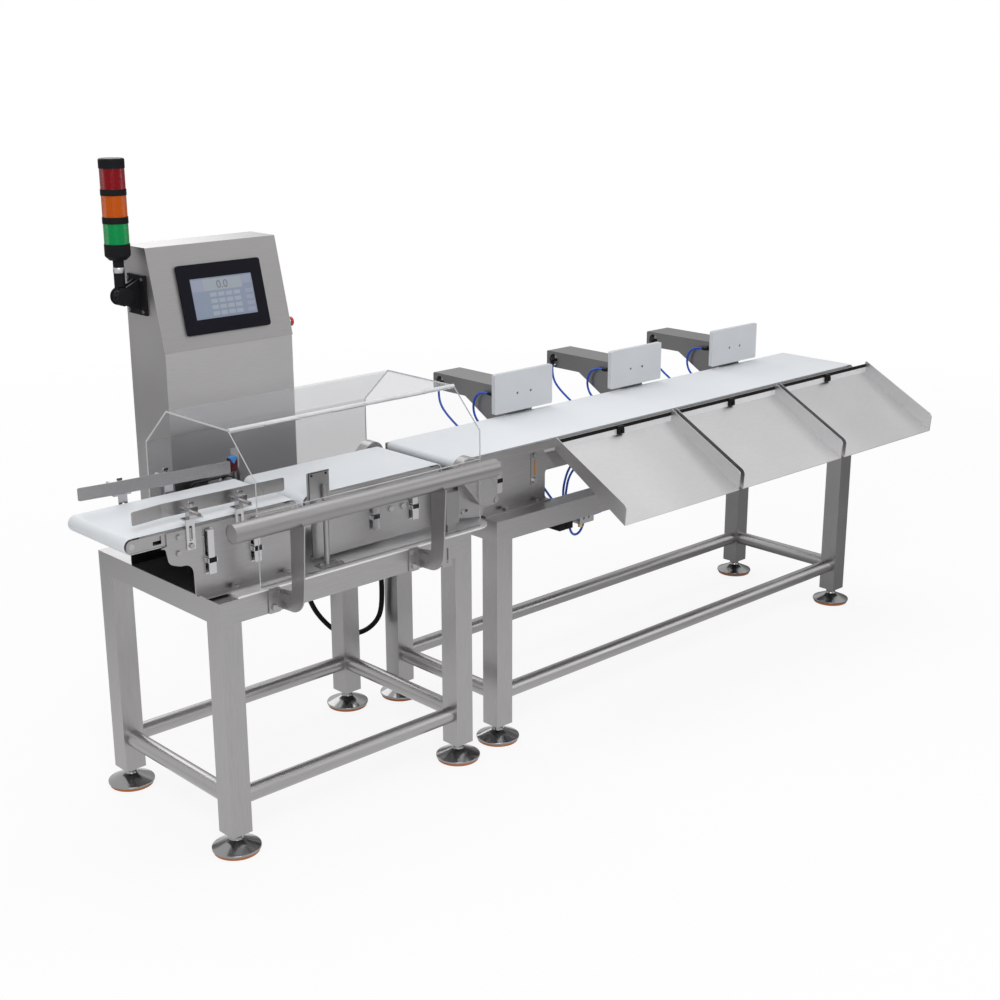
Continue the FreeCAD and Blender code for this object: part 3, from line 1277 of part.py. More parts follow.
def make_drives():
    pulley_y = INFEED_BACK + PLATE_T + PULLEY_OFFSET
    z = BELT_TOP - INFEED_END_R
    tray_back = TRAY_Y + TRAY_DEPTH
    x, motor_z = INFEED_MOTOR
    case = plate_xz(rectangle(x - 42, x + 42, motor_z - 64, motor_z + 34, 4.0), tray_back, MOTOR_LENGTH)
    shaft = rod(x, pulley_y, motor_z, tray_back - pulley_y, MOTOR_SHAFT / 2, ALONG_Y)
    wheel = rod(x, pulley_y, motor_z, PULLEY_WIDTH, PULLEY_DIA / 2, ALONG_Y)
    pedestal = block(x - 30, x + 30, tray_back + 10, tray_back + 50, DECK_TOP, motor_z - 64)
    keep("drives", [fuse([case, shaft, wheel]), pedestal])
    keep("drives", [drive_belt((*INFEED_MOTOR, INFEED_DRIVE, z), pulley_y)])
    ends = (*WEIGH_MOTOR, WEIGH_DRIVE, z)
    keep("drives", [motor(*WEIGH_MOTOR, INFEED_BACK, pulley_y), drive_belt(ends, pulley_y)])
    keep("drives", [drive_guard(ends, INFEED_BACK + PLATE_T, pulley_y)])
    plate_y = SORT_Y - SIDE_RAIL_T - LINK_T
    pulley_y = plate_y - SORT_PULLEY_OFFSET - PULLEY_WIDTH
    ends = (SORT_DRIVE, BELT_TOP - SORT_END_R, *SORT_MOTOR)
    keep("drives", [front_motor(*SORT_MOTOR, plate_y + LINK_T, pulley_y), drive_belt(ends, pulley_y)])
    keep("drives", [front_guard((SORT_DRIVE, FRONT_GUARD_Z, *SORT_MOTOR), plate_y)])


# Valve block below the front beam

VALVE_Y = RIGHT_Y + 24.0
VALVE_DEPTH = 40.0
VALVE_TOP = BEAM_LOW - 3.0
MANIFOLD = (1076.0, 1126.0)
MANIFOLD_LOW = VALVE_TOP - 24.0
PORT_OUT = 8.0
PORT_R = 5.0
REAR_PORTS = tuple(
    (x, VALVE_Y + VALVE_DEPTH + PORT_OUT, z) for z in (505.0, 493.0) for x in (1086.0, 1104.0)
)
SIDE_PORTS = tuple((MANIFOLD[1] + PORT_OUT, y, 500.0) for y in (46.0, 60.0))
LOOP_START = (1056.0, 50.0)
LOOP_DIR = (0.978, 0.207)


def loop_point(along, z):
    """A point of the short loop below the manifold."""
    return (LOOP_START[0] + along * LOOP_DIR[0], LOOP_START[1] + along * LOOP_DIR[1], z)


def make_valves():
    """Two valves and a manifold with its fittings, on a plate below the front beam."""
    y0, y1, z1 = VALVE_Y, VALVE_Y + VALVE_DEPTH, VALVE_TOP
    carrier = block(996.0, 1136.0, y0 - 4, y1 + 4, z1, BEAM_LOW)
    valves = [block(x, x + 22, y0, y1, z1 - 26, z1) for x in (1004.0, 1028.5)]
    manifold = block(*MANIFOLD, y0, y1, MANIFOLD_LOW, z1)
    for x in (1090.0, 1108.0):
        manifold = manifold.cut(rod(x, y0, z1 - 10, 3, 3.5, ALONG_Y))
    fittings = []
    x, y, z = loop_point(0.0, 498.0)
    elbow = block(1050.5, x + 4, y - 4, y + 4, z, z + 9)
    fittings.append(elbow)
    x, y, z = LOOP[-1]
    turn = V(*LOOP[-1]) - V(*LOOP[-2])
    turn.normalize()
    stub = Part.makeCylinder(PORT_R - 0.5, 5.5, V(*LOOP[-1]), turn)
    stub = stub.fuse(hexagon(x + 3, y + 0.5, z + 3, 14.0, MANIFOLD_LOW - z - 3))
    fittings.append(stub)
    fittings.append(rod(1088.0, y0 + 10, MANIFOLD_LOW - 10, 10, 6.0, ALONG_Z))
    for x, y, z in REAR_PORTS:
        fittings.append(rod(x, y1, z, PORT_OUT, PORT_R, ALONG_Y))
    for x, y, z in SIDE_PORTS:
        fittings.append(rod(MANIFOLD[1], y, z, PORT_OUT, PORT_R, ALONG_X))
    keep("valve_block", [carrier, manifold] + valves + fittings)


# Hoses and the power cable


def cord(name, points, dia):
    """A round cord along straight runs joined by tangent arcs."""
    edges = []
    radii = []
    at = V(*points[0])
    for before, here, after in zip(points, points[1:], points[2:]):
        p, c, n = V(*before), V(*here), V(*after)
        a, b = p - c, n - c
        half = (math.pi - a.getAngle(b)) / 2
        reach = 0.45 * min(a.Length, b.Length)
        radius = reach / math.tan(half)
        a.normalize()
        b.normalize()
        middle = a + b
        middle.normalize()
        start, end = c + a * reach, c + b * reach
        depth = radius / math.cos(half) - radius
        edges.append(Part.LineSegment(at, start).toShape())
        edges.append(Part.Arc(start, c + middle * depth, end).toShape())
        radii.append(round(radius))
        at = end
    edges.append(Part.LineSegment(at, V(*points[-1])).toShape())
    wire = Part.Wire(edges)
    first = V(*points[1]) - V(*points[0])
    ring = Part.Wire(Part.makeCircle(dia / 2, V(*points[0]), first))
    solid = Part.Wire(edges).makePipeShell([ring], True, False)
    expected = math.pi * dia * dia / 4 * wire.Length
    print(name, "length", round(wire.Length), "volume share", round(solid.Volume / expected, 4), "radii", radii)
    return solid


CABLE_ROUTE = (
    (514.0, 521.0, 559.0), (514.0, 521.0, 500.0), (530.0, 524.0, 438.0), (558.0, 527.0, 380.0),
    (590.0, 527.0, 320.0), (612.0, 524.0, 252.0), (647.6, 511.3, 200.0), (670.3, 494.3, 180.2),
    (697.5, 473.8, 174.2), (724.2, 453.7, 183.1), (745.4, 437.8, 205.4), (757.0, 429.0, 236.7),
    (757.0, 424.0, 298.0), (753.0, 424.0, 360.0), (748.0, 430.0, 422.0), (746.0, 440.0, 482.0),
    (750.0, 450.0, 540.0), (768.0, 436.0, 606.0), (798.0, 404.0, 648.0), (832.0, 378.0, 662.0),
    (860.0, 352.0, 658.0), (876.0, 316.0, 650.0), (876.0, 273.0, 650.0),
)
LOOP = tuple(
    loop_point(along, z)
    for along, z in (
        (0.0, 498.0), (0.0, 479.9), (9.0, 464.2), (24.7, 455.2), (42.7, 455.2), (58.4, 464.2), (67.4, 479.9)
    )
)


def front_start(x):
    """The loop of a hose from the elbow at the front of a cylinder to below the bed."""
    left = x - ARM_WIDTH / 2 - FRONT_PORT_OUT
    points = ((355, 770), (379, 770), (400, 758), (412, 737), (412, 713), (400, 692), (379, 680), (352, 676),
              (308, 668), (262, 650))
    return [(left, float(y), float(z)) for y, z in points]


def rear_start(x):
    """A hose from the port at the back of a cylinder, down past the arm to below the bed."""
    left = x - ARM_WIDTH / 2 - REAR_PORT_OUT
    points = ((553, 752), (553, 728), (544, 706), (527, 690), (503, 674), (467, 654), (424, 636), (372, 624),
              (318, 618), (270, 610))
    return [(left, float(y), float(z)) for y, z in points]


HOSE_ENDS = (
    (
        [(1068.0, 218.0, 618.0), (1074.0, 180.0, 576.0), (1081.0, 142.0, 534.0), (1086.0, 108.0, 505.0)],
        [(1074.0, 226.0, 590.0), (1079.0, 184.0, 550.0), (1083.0, 146.0, 514.0), (1086.0, 110.0, 493.0)],
    ),
    (
        [(1486.0, 226.0, 632.0), (1440.0, 214.0, 621.0), (1360.0, 209.0, 611.0), (1280.0, 206.0, 604.0),
         (1200.0, 190.0, 588.0), (1144.0, 158.0, 552.0), (1116.0, 132.0, 522.0), (1104.0, 108.0, 505.0)],
        [(1484.0, 236.0, 600.0), (1436.0, 226.0, 592.0), (1356.0, 222.0, 588.0), (1276.0, 218.0, 580.0),
         (1204.0, 196.0, 560.0), (1154.0, 160.0, 524.0), (1124.0, 132.0, 502.0), (1104.0, 110.0, 493.0)],
    ),
    (
        [(1916.0, 228.0, 634.0), (1868.0, 210.0, 622.0), (1780.0, 200.0, 614.0), (1690.0, 196.0, 612.0),
         (1600.0, 194.0, 614.0), (1510.0, 192.0, 618.0), (1430.0, 188.0, 612.0), (1360.0, 168.0, 584.0),
         (1300.0, 132.0, 544.0), (1240.0, 92.0, 510.0), (1204.0, 58.0, 501.0), (1166.0, 46.0, 500.0)],
        [(1914.0, 238.0, 602.0), (1864.0, 226.0, 594.0), (1776.0, 214.0, 590.0), (1686.0, 208.0, 590.0),
         (1596.0, 208.0, 588.0), (1506.0, 204.0, 594.0), (1426.0, 200.0, 588.0), (1356.0, 182.0, 562.0),
         (1298.0, 148.0, 528.0), (1240.0, 108.0, 504.0), (1204.0, 76.0, 499.0), (1166.0, 60.0, 500.0)],
    ),
)


def make_cords():
    ports = [(REAR_PORTS[0], REAR_PORTS[2]), (REAR_PORTS[1], REAR_PORTS[3]), SIDE_PORTS]
    for i, x in enumerate(PUSHER_CENTRES):
        name = "air_hoses_" + str(i + 1)
        for label, start, end, port in (
            ("front", front_start(x), HOSE_ENDS[i][0], ports[i][0]),
            ("rear", rear_start(x), HOSE_ENDS[i][1], ports[i][1]),
        ):
            keep(name, [cord(name + " " + label, start + end + [port], HOSE_DIA)])
    keep("air_hoses_1", [cord("loop", LOOP, HOSE_DIA)])
    keep("power_cable", [cord("power_cable", CABLE_ROUTE, CABLE_DIA)])


# Bolts


def bolt(x, y, z, toward, across=13.0, head=5.0, shank=6.0):
    """A hexagon bolt: its head stands off the surface towards the given direction."""
    body = hexagon(0, 0, 0, across, head)
    body = body.fuse(rod(0, 0, -shank, shank, across * 0.3, ALONG_Z))
    turn = FreeCAD.Rotation(ALONG_Z, toward)
    body.Placement = FreeCAD.Placement(V(x, y, z), turn)
    return body


def drill(names, tool):
    """Cuts a bolt's hole through every solid of these nodes that it meets."""
    for name in names:
        for i, shape in enumerate(nodes[name]):
            if shape.BoundBox.intersect(tool.BoundBox):
                nodes[name][i] = shape.cut(tool)


TO_FRONT = V(0, -1, 0)
TO_LEFT = V(-1, 0, 0)
UP = V(0, 0, 1)


def bolt_list():
    """Each bolt's seat, direction, size and the nodes it goes through."""
    face = INFEED_FACE
    flange = face - FLANGE_OUT / 2
    sheet = DECK_TOP + PLATE_T
    rows = [(x, face, z, TO_FRONT, 10.0, PLATE_T, ["infeed_side_plates"]) for x, z in ((-48, 703), (-50, 670))]
    rows += [(x, flange, sheet, UP, 13.0, PLATE_T, ["infeed_side_plates"]) for x in (70.0, 200.0)]
    rows += [(x, face, 648.0, TO_FRONT, 12.0, PLATE_T, ["weigh_side_plates"]) for x in (491.0, 526.0)]
    for x in GUARD_PLATES:
        for z in (527.0, 555.0):
            rows.append((x - 18, LEFT_Y - PLATE_T, z, TO_FRONT, 12.0, PLATE_T, ["guard_brackets"]))
    rows += [(x, GUIDE_FRONT, 680.0, TO_FRONT, 10.0, PLATE_T, ["rail_brackets"]) for x in GUIDE_ROD_X]
    sort_lip = SORT_PLATE_Y - 12
    rows += [(x, sort_lip, STAND_TOP + PLATE_T, UP, 13.0, PLATE_T, ["sorting_side_plates"]) for x in (850.0, 960.0)]
    link = SORT_Y - SIDE_RAIL_T - LINK_T
    rows += [(x, link, LINK_BOLT_Z, TO_FRONT, 12.0, LINK_T, ["sorting_side_plates"]) for x in LINK_BOLT_X]
    rows.append((SORT_DRIVE, link, LINK_BOLT_Z - 7.5, TO_FRONT, 10.0, LINK_T, ["sorting_side_plates"]))
    for z in (MARKER[2] + 10, MARKER[3] - 10):
        rows.append((MARKER[0] + 10, SORT_PLATE_Y - 2, z, TO_FRONT, 12.0, 2.0, ["sorting_side_plates"]))
    rows += [(POST_X + dx, POST_Y - 5, DECK_TOP + FOOT_T, UP, 10.0, FOOT_T, ["reflector"]) for dx in (-18.0, 24.0)]
    for dy in (-28.0, 28.0):
        for dz in (-36.0, 36.0):
            rows.append((CAB_X - 6, TOWER_Y + dy, TOWER_PIVOT + dz, TO_LEFT, 8.0, 6.0, ["tower_mount"]))
    return rows


GUIDE_FRONT = INFEED_FACE - PLATE_T


def make_bolts():
    for x, y, z, toward, across, grip, names in bolt_list():
        solid = bolt(x, y, z, toward, across, across * 0.4, grip)
        drill(names, solid)
        keep("fasteners", [solid])


make_stands()
make_feet()
make_deck()
make_infeed()
make_weigh()
make_load_cell()
make_sorting()
make_guides()
make_eye()
make_cover()
make_guard()
make_cabinet()
make_cabinet_stand()
make_switchgear()
make_tower()
make_pushers()
make_chutes()
make_drives()
make_valves()
make_cords()
make_bolts()


CORDS = ("air_hoses_1", "air_hoses_2", "air_hoses_3", "power_cable")


def write_nodes():
    """Centres the machine over the origin and writes one file per node."""
    rigid = [s for name, shapes in nodes.items() if name not in CORDS for s in shapes]
    whole = Part.makeCompound(rigid).optimalBoundingBox(False)
    shift = (-whole.Center.x, -whole.Center.y)
    os.makedirs("parts", exist_ok=True)
    for name, shapes in nodes.items():
        placed = [move(s, *shift) for s in shapes]
        shape = placed[0] if len(placed) == 1 else Part.makeCompound(placed)
        shape.exportStep("parts/" + name + ".step")
    print("shift", round(shift[0], 3), round(shift[1], 3), "nodes", len(nodes))
    print("box", whole.XMin, whole.XMax, whole.YMin, whole.YMax, whole.ZMin, whole.ZMax)


write_nodes()
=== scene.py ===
# %% [markdown]
# A weight grading machine, finished for the camera
#
# The machine weighs goods one by one on a short belt and pushes each one off a long belt into one
# of three chutes. Its steelwork comes from the CAD frame. This lesson gives every part its finish,
# and makes the pieces that plain solids can't show well: belts, lenses, hoses and the lit display.

# %% Load the frame
import json
import math
import bpy
import numpy as np
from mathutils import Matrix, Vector

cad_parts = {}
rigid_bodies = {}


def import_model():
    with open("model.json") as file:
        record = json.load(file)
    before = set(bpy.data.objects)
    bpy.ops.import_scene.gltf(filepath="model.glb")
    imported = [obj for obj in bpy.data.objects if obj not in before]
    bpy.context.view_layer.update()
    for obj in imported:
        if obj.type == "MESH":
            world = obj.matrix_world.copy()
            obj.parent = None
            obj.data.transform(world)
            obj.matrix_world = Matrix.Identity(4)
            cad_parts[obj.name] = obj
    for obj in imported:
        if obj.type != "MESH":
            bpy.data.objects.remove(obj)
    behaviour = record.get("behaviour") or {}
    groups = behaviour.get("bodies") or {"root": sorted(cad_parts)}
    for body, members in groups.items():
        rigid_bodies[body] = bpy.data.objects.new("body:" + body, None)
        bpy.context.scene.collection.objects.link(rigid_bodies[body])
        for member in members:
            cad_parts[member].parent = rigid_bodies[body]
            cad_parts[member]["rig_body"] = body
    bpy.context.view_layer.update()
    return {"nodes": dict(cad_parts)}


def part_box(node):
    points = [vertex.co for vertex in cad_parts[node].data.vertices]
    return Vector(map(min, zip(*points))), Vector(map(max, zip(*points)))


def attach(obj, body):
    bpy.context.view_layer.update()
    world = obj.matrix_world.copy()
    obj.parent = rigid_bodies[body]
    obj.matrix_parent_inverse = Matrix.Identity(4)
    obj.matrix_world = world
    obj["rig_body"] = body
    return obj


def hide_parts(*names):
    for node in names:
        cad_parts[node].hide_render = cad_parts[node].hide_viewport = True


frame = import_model()
nodes = frame["nodes"]
print("CAD nodes:", len(nodes))

# %% [markdown]
# The drawing of the machine has its zero at the front left leg, in millimetres. The frame has its
# zero under the middle of the machine, in metres. One small helper goes from the one to the other,
# so each number below can be read next to the drawing.

# %% Drawing coordinates to frame coordinates
DRAWING_ZERO = np.array((1077.0, 208.857, 0.0))
MM = 0.001


def at(points):
    """A point or an array of points: (drawing point minus the zero point) times 0.001."""
    return (np.asarray(points, float) - DRAWING_ZERO) * MM


print("belt level:", at((0, 0, 722))[2], "m")

# %% [markdown]
# The camera comes before the pieces, because the free hoses have to lie in its view. Its place was
# worked out from the long straight edges of the two stands: to the left of the machine, 1.64 m up,
# and turned slightly down and to the right.

# %% Camera
CAMERA_PLACE = (-2.6485, -2.674857, 1.6414)
CAMERA_TURN = (90.0 - 16.68, 0.09, -43.55)
CAMERA_LENS = 55.346

camera_data = bpy.data.cameras.new("studio_camera")
camera_data.lens = CAMERA_LENS
camera_data.sensor_width = 36.0
camera_data.clip_end = 60.0
camera = bpy.data.objects.new("studio_camera", camera_data)
camera.location = CAMERA_PLACE
camera.rotation_euler = [math.radians(a) for a in CAMERA_TURN]
bpy.context.scene.collection.objects.link(camera)
bpy.context.scene.camera = camera
bpy.context.scene.view_settings.view_transform = "Standard"
print("lens:", CAMERA_LENS, "mm")

# %% [markdown]
# A material in Blender is a graph of nodes, and most graphs here repeat a few small steps: make a
# node, link or set what it takes, calculate with two values, blend two colours, and move a value
# into another range. Each step is a helper, so that a finish reads like a sentence.

# %% Helpers for node graphs


def add(tree, kind, **values):
    """A new node of that kind with its properties and input values set by name."""
    node = tree.nodes.new("ShaderNode" + kind)
    for title, value in values.items():
        if hasattr(node, title):
            setattr(node, title, value)
        else:
            node.inputs[title.replace("_", " ")].default_value = value
    return node


def feed(tree, socket, value):
    """What the socket takes: the output of another node is linked, a number, vector or colour is set."""
    if isinstance(value, bpy.types.NodeSocket):
        tree.links.new(value, socket)
    else:
        socket.default_value = (*value, 1.0) if socket.type == "RGBA" else value


def maths(tree, operation, first, second):
    """The result of one Math node, such as first times second."""
    node = add(tree, "Math", operation=operation)
    feed(tree, node.inputs[0], first)
    feed(tree, node.inputs[1], second)
    return node.outputs[0]


def shades(tree, mask, dark, light, blend="MIX"):
    """A colour between dark at mask 0 and light at mask 1, or another blend of the two."""
    node = add(tree, "Mix", data_type="RGBA", blend_type=blend)
    colours = [socket for socket in node.inputs if socket.type == "RGBA"]
    for socket, value in zip((node.inputs[0], *colours), (mask, dark, light)):
        feed(tree, socket, value)
    return [socket for socket in node.outputs if socket.type == "RGBA"][0]


def ranged(tree, source, low, high, start=0.3, end=0.7):
    """The value from source, moved from the range start to end into the range low to high."""
    node = add(tree, "MapRange", From_Min=start, From_Max=end, To_Min=low, To_Max=high)
    tree.links.new(source, node.inputs["Value"])
    return node.outputs["Result"]


print("helpers:", [helper.__name__ for helper in (add, feed, maths, shades, ranged)])

# %% [markdown]
# Several finishes share the same effects. Brushed steel has fine lines along the rolling direction,
# and handled sheet has large soft patches. Each effect is a node group with its own inputs, built
# once, and it puts out only a value that varies over the surface. The shader itself stays in each
# material, so the constants stay on its sockets.

# %% Brushed lines and soft patches


def effect(name, inputs, outputs):
    """An empty node group with float or vector inputs and float outputs, and its first and last node."""
    group = bpy.data.node_groups.new(name, "ShaderNodeTree")
    for title, value in inputs.items():
        kind = "NodeSocketVector" if isinstance(value, tuple) else "NodeSocketFloat"
        socket = group.interface.new_socket(title, in_out="INPUT", socket_type=kind)
        socket.default_value = value
    for title in outputs:
        group.interface.new_socket(title, in_out="OUTPUT", socket_type="NodeSocketFloat")
    return group, group.nodes.new("NodeGroupInput"), group.nodes.new("NodeGroupOutput")


def make_brushing():
    """Noise of Object coordinates stretched by Lay: a small number along the lines, a large one across."""
    group, start, end = effect("brushing", {"Lay": (1.0, 40.0, 40.0), "Scale": 30.0}, ("Lines",))
    place = add(group, "TexCoord")
    stretch = add(group, "VectorMath", operation="MULTIPLY")
    noise = add(group, "TexNoise", Detail=4.0, Roughness=0.65)
    group.links.new(place.outputs["Object"], stretch.inputs[0])
    group.links.new(start.outputs["Lay"], stretch.inputs[1])
    group.links.new(stretch.outputs[0], noise.inputs["Vector"])
    group.links.new(start.outputs["Scale"], noise.inputs["Scale"])
    group.links.new(noise.outputs["Fac"], end.inputs["Lines"])
    return group


def make_patches():
    """Large soft noise: 0 to 1 over patches about 1 / Scale metres wide."""
    group, start, end = effect("soft_patches", {"Scale": 5.0, "Seed": 0.0}, ("Patch",))
    place = add(group, "TexCoord")
    noise = add(group, "TexNoise", noise_dimensions="4D", Detail=2.0, Roughness=0.45)
    group.links.new(place.outputs["Object"], noise.inputs["Vector"])
    group.links.new(start.outputs["Scale"], noise.inputs["Scale"])
    group.links.new(start.outputs["Seed"], noise.inputs["W"])
    group.links.new(ranged(group, noise.outputs["Fac"], 0.0, 1.0), end.inputs["Patch"])
    return group


BRUSHING = make_brushing()
PATCHES = make_patches()
print("effects:", [group.name for group in (BRUSHING, PATCHES)])

# %% [markdown]
# Two more effects. Every face that looks up gathers a little dust, so the dust's mask is how far the
# normal points up, times a fine noise. Moulded plastic and rubber have an even grain of small cells.

# %% Dust and moulded grain


def make_dust():
    """How far a face looks up, times fine noise, times Amount: the mask of the dust that lies on it."""
    group, start, end = effect("dust", {"Amount": 0.2, "Scale": 60.0}, ("Mask",))
    shape = add(group, "NewGeometry")
    place = add(group, "TexCoord")
    noise = add(group, "TexNoise", Detail=5.0, Roughness=0.7)
    split = add(group, "SeparateXYZ")
    group.links.new(shape.outputs["Normal"], split.inputs[0])
    group.links.new(place.outputs["Object"], noise.inputs["Vector"])
    group.links.new(start.outputs["Scale"], noise.inputs["Scale"])
    upward = ranged(group, split.outputs["Z"], 0.0, 1.0, 0.5, 1.0)
    speckled = maths(group, "MULTIPLY", upward, noise.outputs["Fac"])
    group.links.new(maths(group, "MULTIPLY", speckled, start.outputs["Amount"]), end.inputs["Mask"])
    return group


def make_grain():
    """Fine even noise for moulded plastic and rubber: cells about 1 / Scale metres wide."""
    group, start, end = effect("moulded_grain", {"Scale": 900.0}, ("Height",))
    place = add(group, "TexCoord")
    cells = add(group, "TexVoronoi")
    noise = add(group, "TexNoise", Detail=3.0)
    for texture in (cells, noise):
        group.links.new(place.outputs["Object"], texture.inputs["Vector"])
        group.links.new(start.outputs["Scale"], texture.inputs["Scale"])
    height = maths(group, "MULTIPLY", cells.outputs["Distance"], noise.outputs["Fac"])
    group.links.new(height, end.inputs["Height"])
    return group


DUST = make_dust()
GRAIN = make_grain()
print("effects:", [group.name for group in (DUST, GRAIN)])

# %% [markdown]
# A material starts as a Principled shader with its constants. Then a colour that moves between two
# shades by one effect, a roughness that moves between two values by another, and a bump. These few
# steps are the same for steel, plastic and rubber, so they are one function with different values.

# %% One builder for most finishes
DUST_SHADE = (0.72, 0.71, 0.69)


def new_material(name):
    """A material, its node tree and its Principled shader."""
    material = bpy.data.materials.new(name)
    material.use_nodes = True
    return material, material.node_tree, material.node_tree.nodes["Principled BSDF"]


def place_effect(tree, group, **values):
    """The effect's node in this material, with its input values."""
    node = tree.nodes.new("ShaderNodeGroup")
    node.node_tree = group
    for title, value in values.items():
        node.inputs[title].default_value = value
    return node


def scaled(colour, factor):
    """The colour with each part multiplied by factor, at most 1."""
    return tuple(min(1.0, c * factor) for c in colour)


def finish(name, colour, rough, metal=0.0, detail=None, contrast=0.1, bump=0.0, patch=5.0, spread=0.08,
           dust=0.0, **constants):
    """A Principled material. detail is the node that gives the fine pattern: its first output shades the
    colour by contrast and bumps it by bump metres. Soft patches move the roughness by spread, and dust
    lightens what looks up."""
    material, tree, shader = new_material(name)
    shader.inputs["Metallic"].default_value = metal
    for title, value in constants.items():
        shader.inputs[title.replace("_", " ")].default_value = value
    patches = place_effect(tree, PATCHES, Scale=patch, Seed=float(len(bpy.data.materials))).outputs[0]
    fine = patches
    if detail:
        group, values = detail
        fine = place_effect(tree, group, **values).outputs[0]
    low, high = scaled(colour, 1 - contrast), scaled(colour, 1 + contrast)
    cloud = shades(tree, patches, (0.93, 0.93, 0.93), (1.0, 1.0, 1.0))
    result = shades(tree, 1.0, shades(tree, ranged(tree, fine, 0.0, 1.0), low, high), cloud, "MULTIPLY")
    if dust:
        result = shades(tree, place_effect(tree, DUST, Amount=dust).outputs[0], result, DUST_SHADE)
    tree.links.new(result, shader.inputs["Base Color"])
    roughness = ranged(tree, patches, rough - spread, rough + spread, 0.0, 1.0)
    tree.links.new(roughness, shader.inputs["Roughness"])
    if bump:
        relief = add(tree, "Bump", Strength=0.6, Distance=bump)
        tree.links.new(fine, relief.inputs["Height"])
        tree.links.new(relief.outputs[0], shader.inputs["Normal"])
    return material


print("shade of dust:", DUST_SHADE)

# %% [markdown]
# The frame is brushed stainless steel: square tubes with lines along their length, and sheet with a
# fine satin. The lines run along X, Y or Z, so the same finish is made three times with another
# stretch. Machined steel, turned aluminium and cast parts get their own values.

# %% Metals
STEEL = (0.37, 0.362, 0.364)
LINE = 55.0


def lay(x, y, z):
    """The brushing effect with lines along the axis that has the smallest number."""
    return (BRUSHING, {"Lay": (x, y, z), "Scale": 22.0})


def grain(scale):
    """The moulded grain effect with cells about 1 / scale metres wide."""
    return (GRAIN, {"Scale": scale})


ALONG_X = lay(1.0, LINE, LINE)
ALONG_Y = lay(LINE, 1.0, LINE)
ALONG_Z = lay(LINE, LINE, 1.0)
SATIN = lay(2.0, 12.0, 12.0)

# Name, colour, roughness, metal, fine detail, its contrast, its bump in metres, patches per metre,
# and where it isn't the usual, how far the patches move the roughness.
steel_x = finish("steel_brushed_x", STEEL, 0.34, 1.0, ALONG_X, 0.10, 0.00008, 4.0)
steel_y = finish("steel_brushed_y", STEEL, 0.34, 1.0, ALONG_Y, 0.10, 0.00008, 4.0)
steel_z = finish("steel_brushed_z", STEEL, 0.34, 1.0, ALONG_Z, 0.10, 0.00008, 4.0)
steel_cabinet = finish("steel_brushed_cabinet", scaled(STEEL, 1.2), 0.46, 1.0, ALONG_X, 0.05, 0.00003, 3.0)
# The cabinet's slanted face gets a darker copy with painted shade, its upright front a brighter copy with
# painted light.
steel_face_painted_shade = finish("steel_brushed_face_painted_shade", scaled(STEEL, 0.86), 0.46, 1.0, ALONG_X, 0.05, 0.00003, 3.0)
steel_front_painted_light = finish("steel_brushed_front_painted_light", scaled(STEEL, 1.4), 0.50, 0.9, ALONG_X, 0.06, 0.00003, 3.0)
steel_arm = finish("steel_folded_arm", scaled(STEEL, 0.72), 0.42, 1.0, SATIN, 0.06, 0.00005, 3.0)
# A darker copy of the brushed steel, painted shade, for the guard tube and the terminal box.
steel_painted_shade = finish("steel_brushed_painted_shade", scaled(STEEL, 0.8), 0.40, 1.0, ALONG_X, 0.08, 0.00006, 4.0)
steel_deck = finish("steel_satin_deck", (0.78, 0.775, 0.78), 0.45, 0.7, SATIN, 0.03, 0.00002, 3.0)
steel_foot = finish("steel_foot_disc", (0.30, 0.30, 0.305), 0.15, 1.0, grain(300.0), 0.05, 0.00003, 9.0,
                    0.05)
# The chutes' upright flanges: a darker copy of the satin sheet, painted shade.
steel_flange_painted_shade = finish("steel_satin_flange_painted_shade", (0.58, 0.575, 0.58), 0.38, 1.0, SATIN, 0.03, 0.00002, 3.0)
# The chutes' edge strips: a brighter copy, painted light that matches the chute's lit floor.
steel_edge_painted_light = finish("steel_satin_edge_painted_light", (0.80, 0.80, 0.81), 0.45, 0.3, SATIN, 0.03, 0.00002, 3.0)
steel_satin = finish("steel_satin_sheet", (0.64, 0.635, 0.64), 0.40, 1.0, SATIN, 0.03, 0.00002, 3.0)
steel_bright = finish("steel_polished", (0.55, 0.55, 0.56), 0.16, 1.0, grain(300.0), 0.05, 0.00003, 9.0,
                      0.05)
steel_dark = finish("steel_dark_cast", (0.17, 0.17, 0.175), 0.45, 0.8, grain(500.0), 0.15, 0.0001, 20.0)
aluminium = finish("aluminium_anodised", (0.50, 0.50, 0.51), 0.38, 1.0, grain(1200.0), 0.08, 0.00004, 9.0)
zinc = finish("zinc_plated_screws", (0.42, 0.42, 0.42), 0.20, 1.0, grain(700.0), 0.15, 0.00005, 60.0)
brass = finish("brass_fittings", (0.55, 0.40, 0.16), 0.26, 1.0, grain(700.0), 0.10, 0.00004, 60.0)
print("metals:", len(bpy.data.materials))

# %% [markdown]
# The belts are white polyurethane over cloth, so they are matt with a faint even imprint. The
# paddles are milled white plastic. The rest is black moulded plastic and rubber, a black tray,
# orange pads, and coloured hose. Each keeps its own roughness, because that is how the eye tells
# rubber from lacquer.

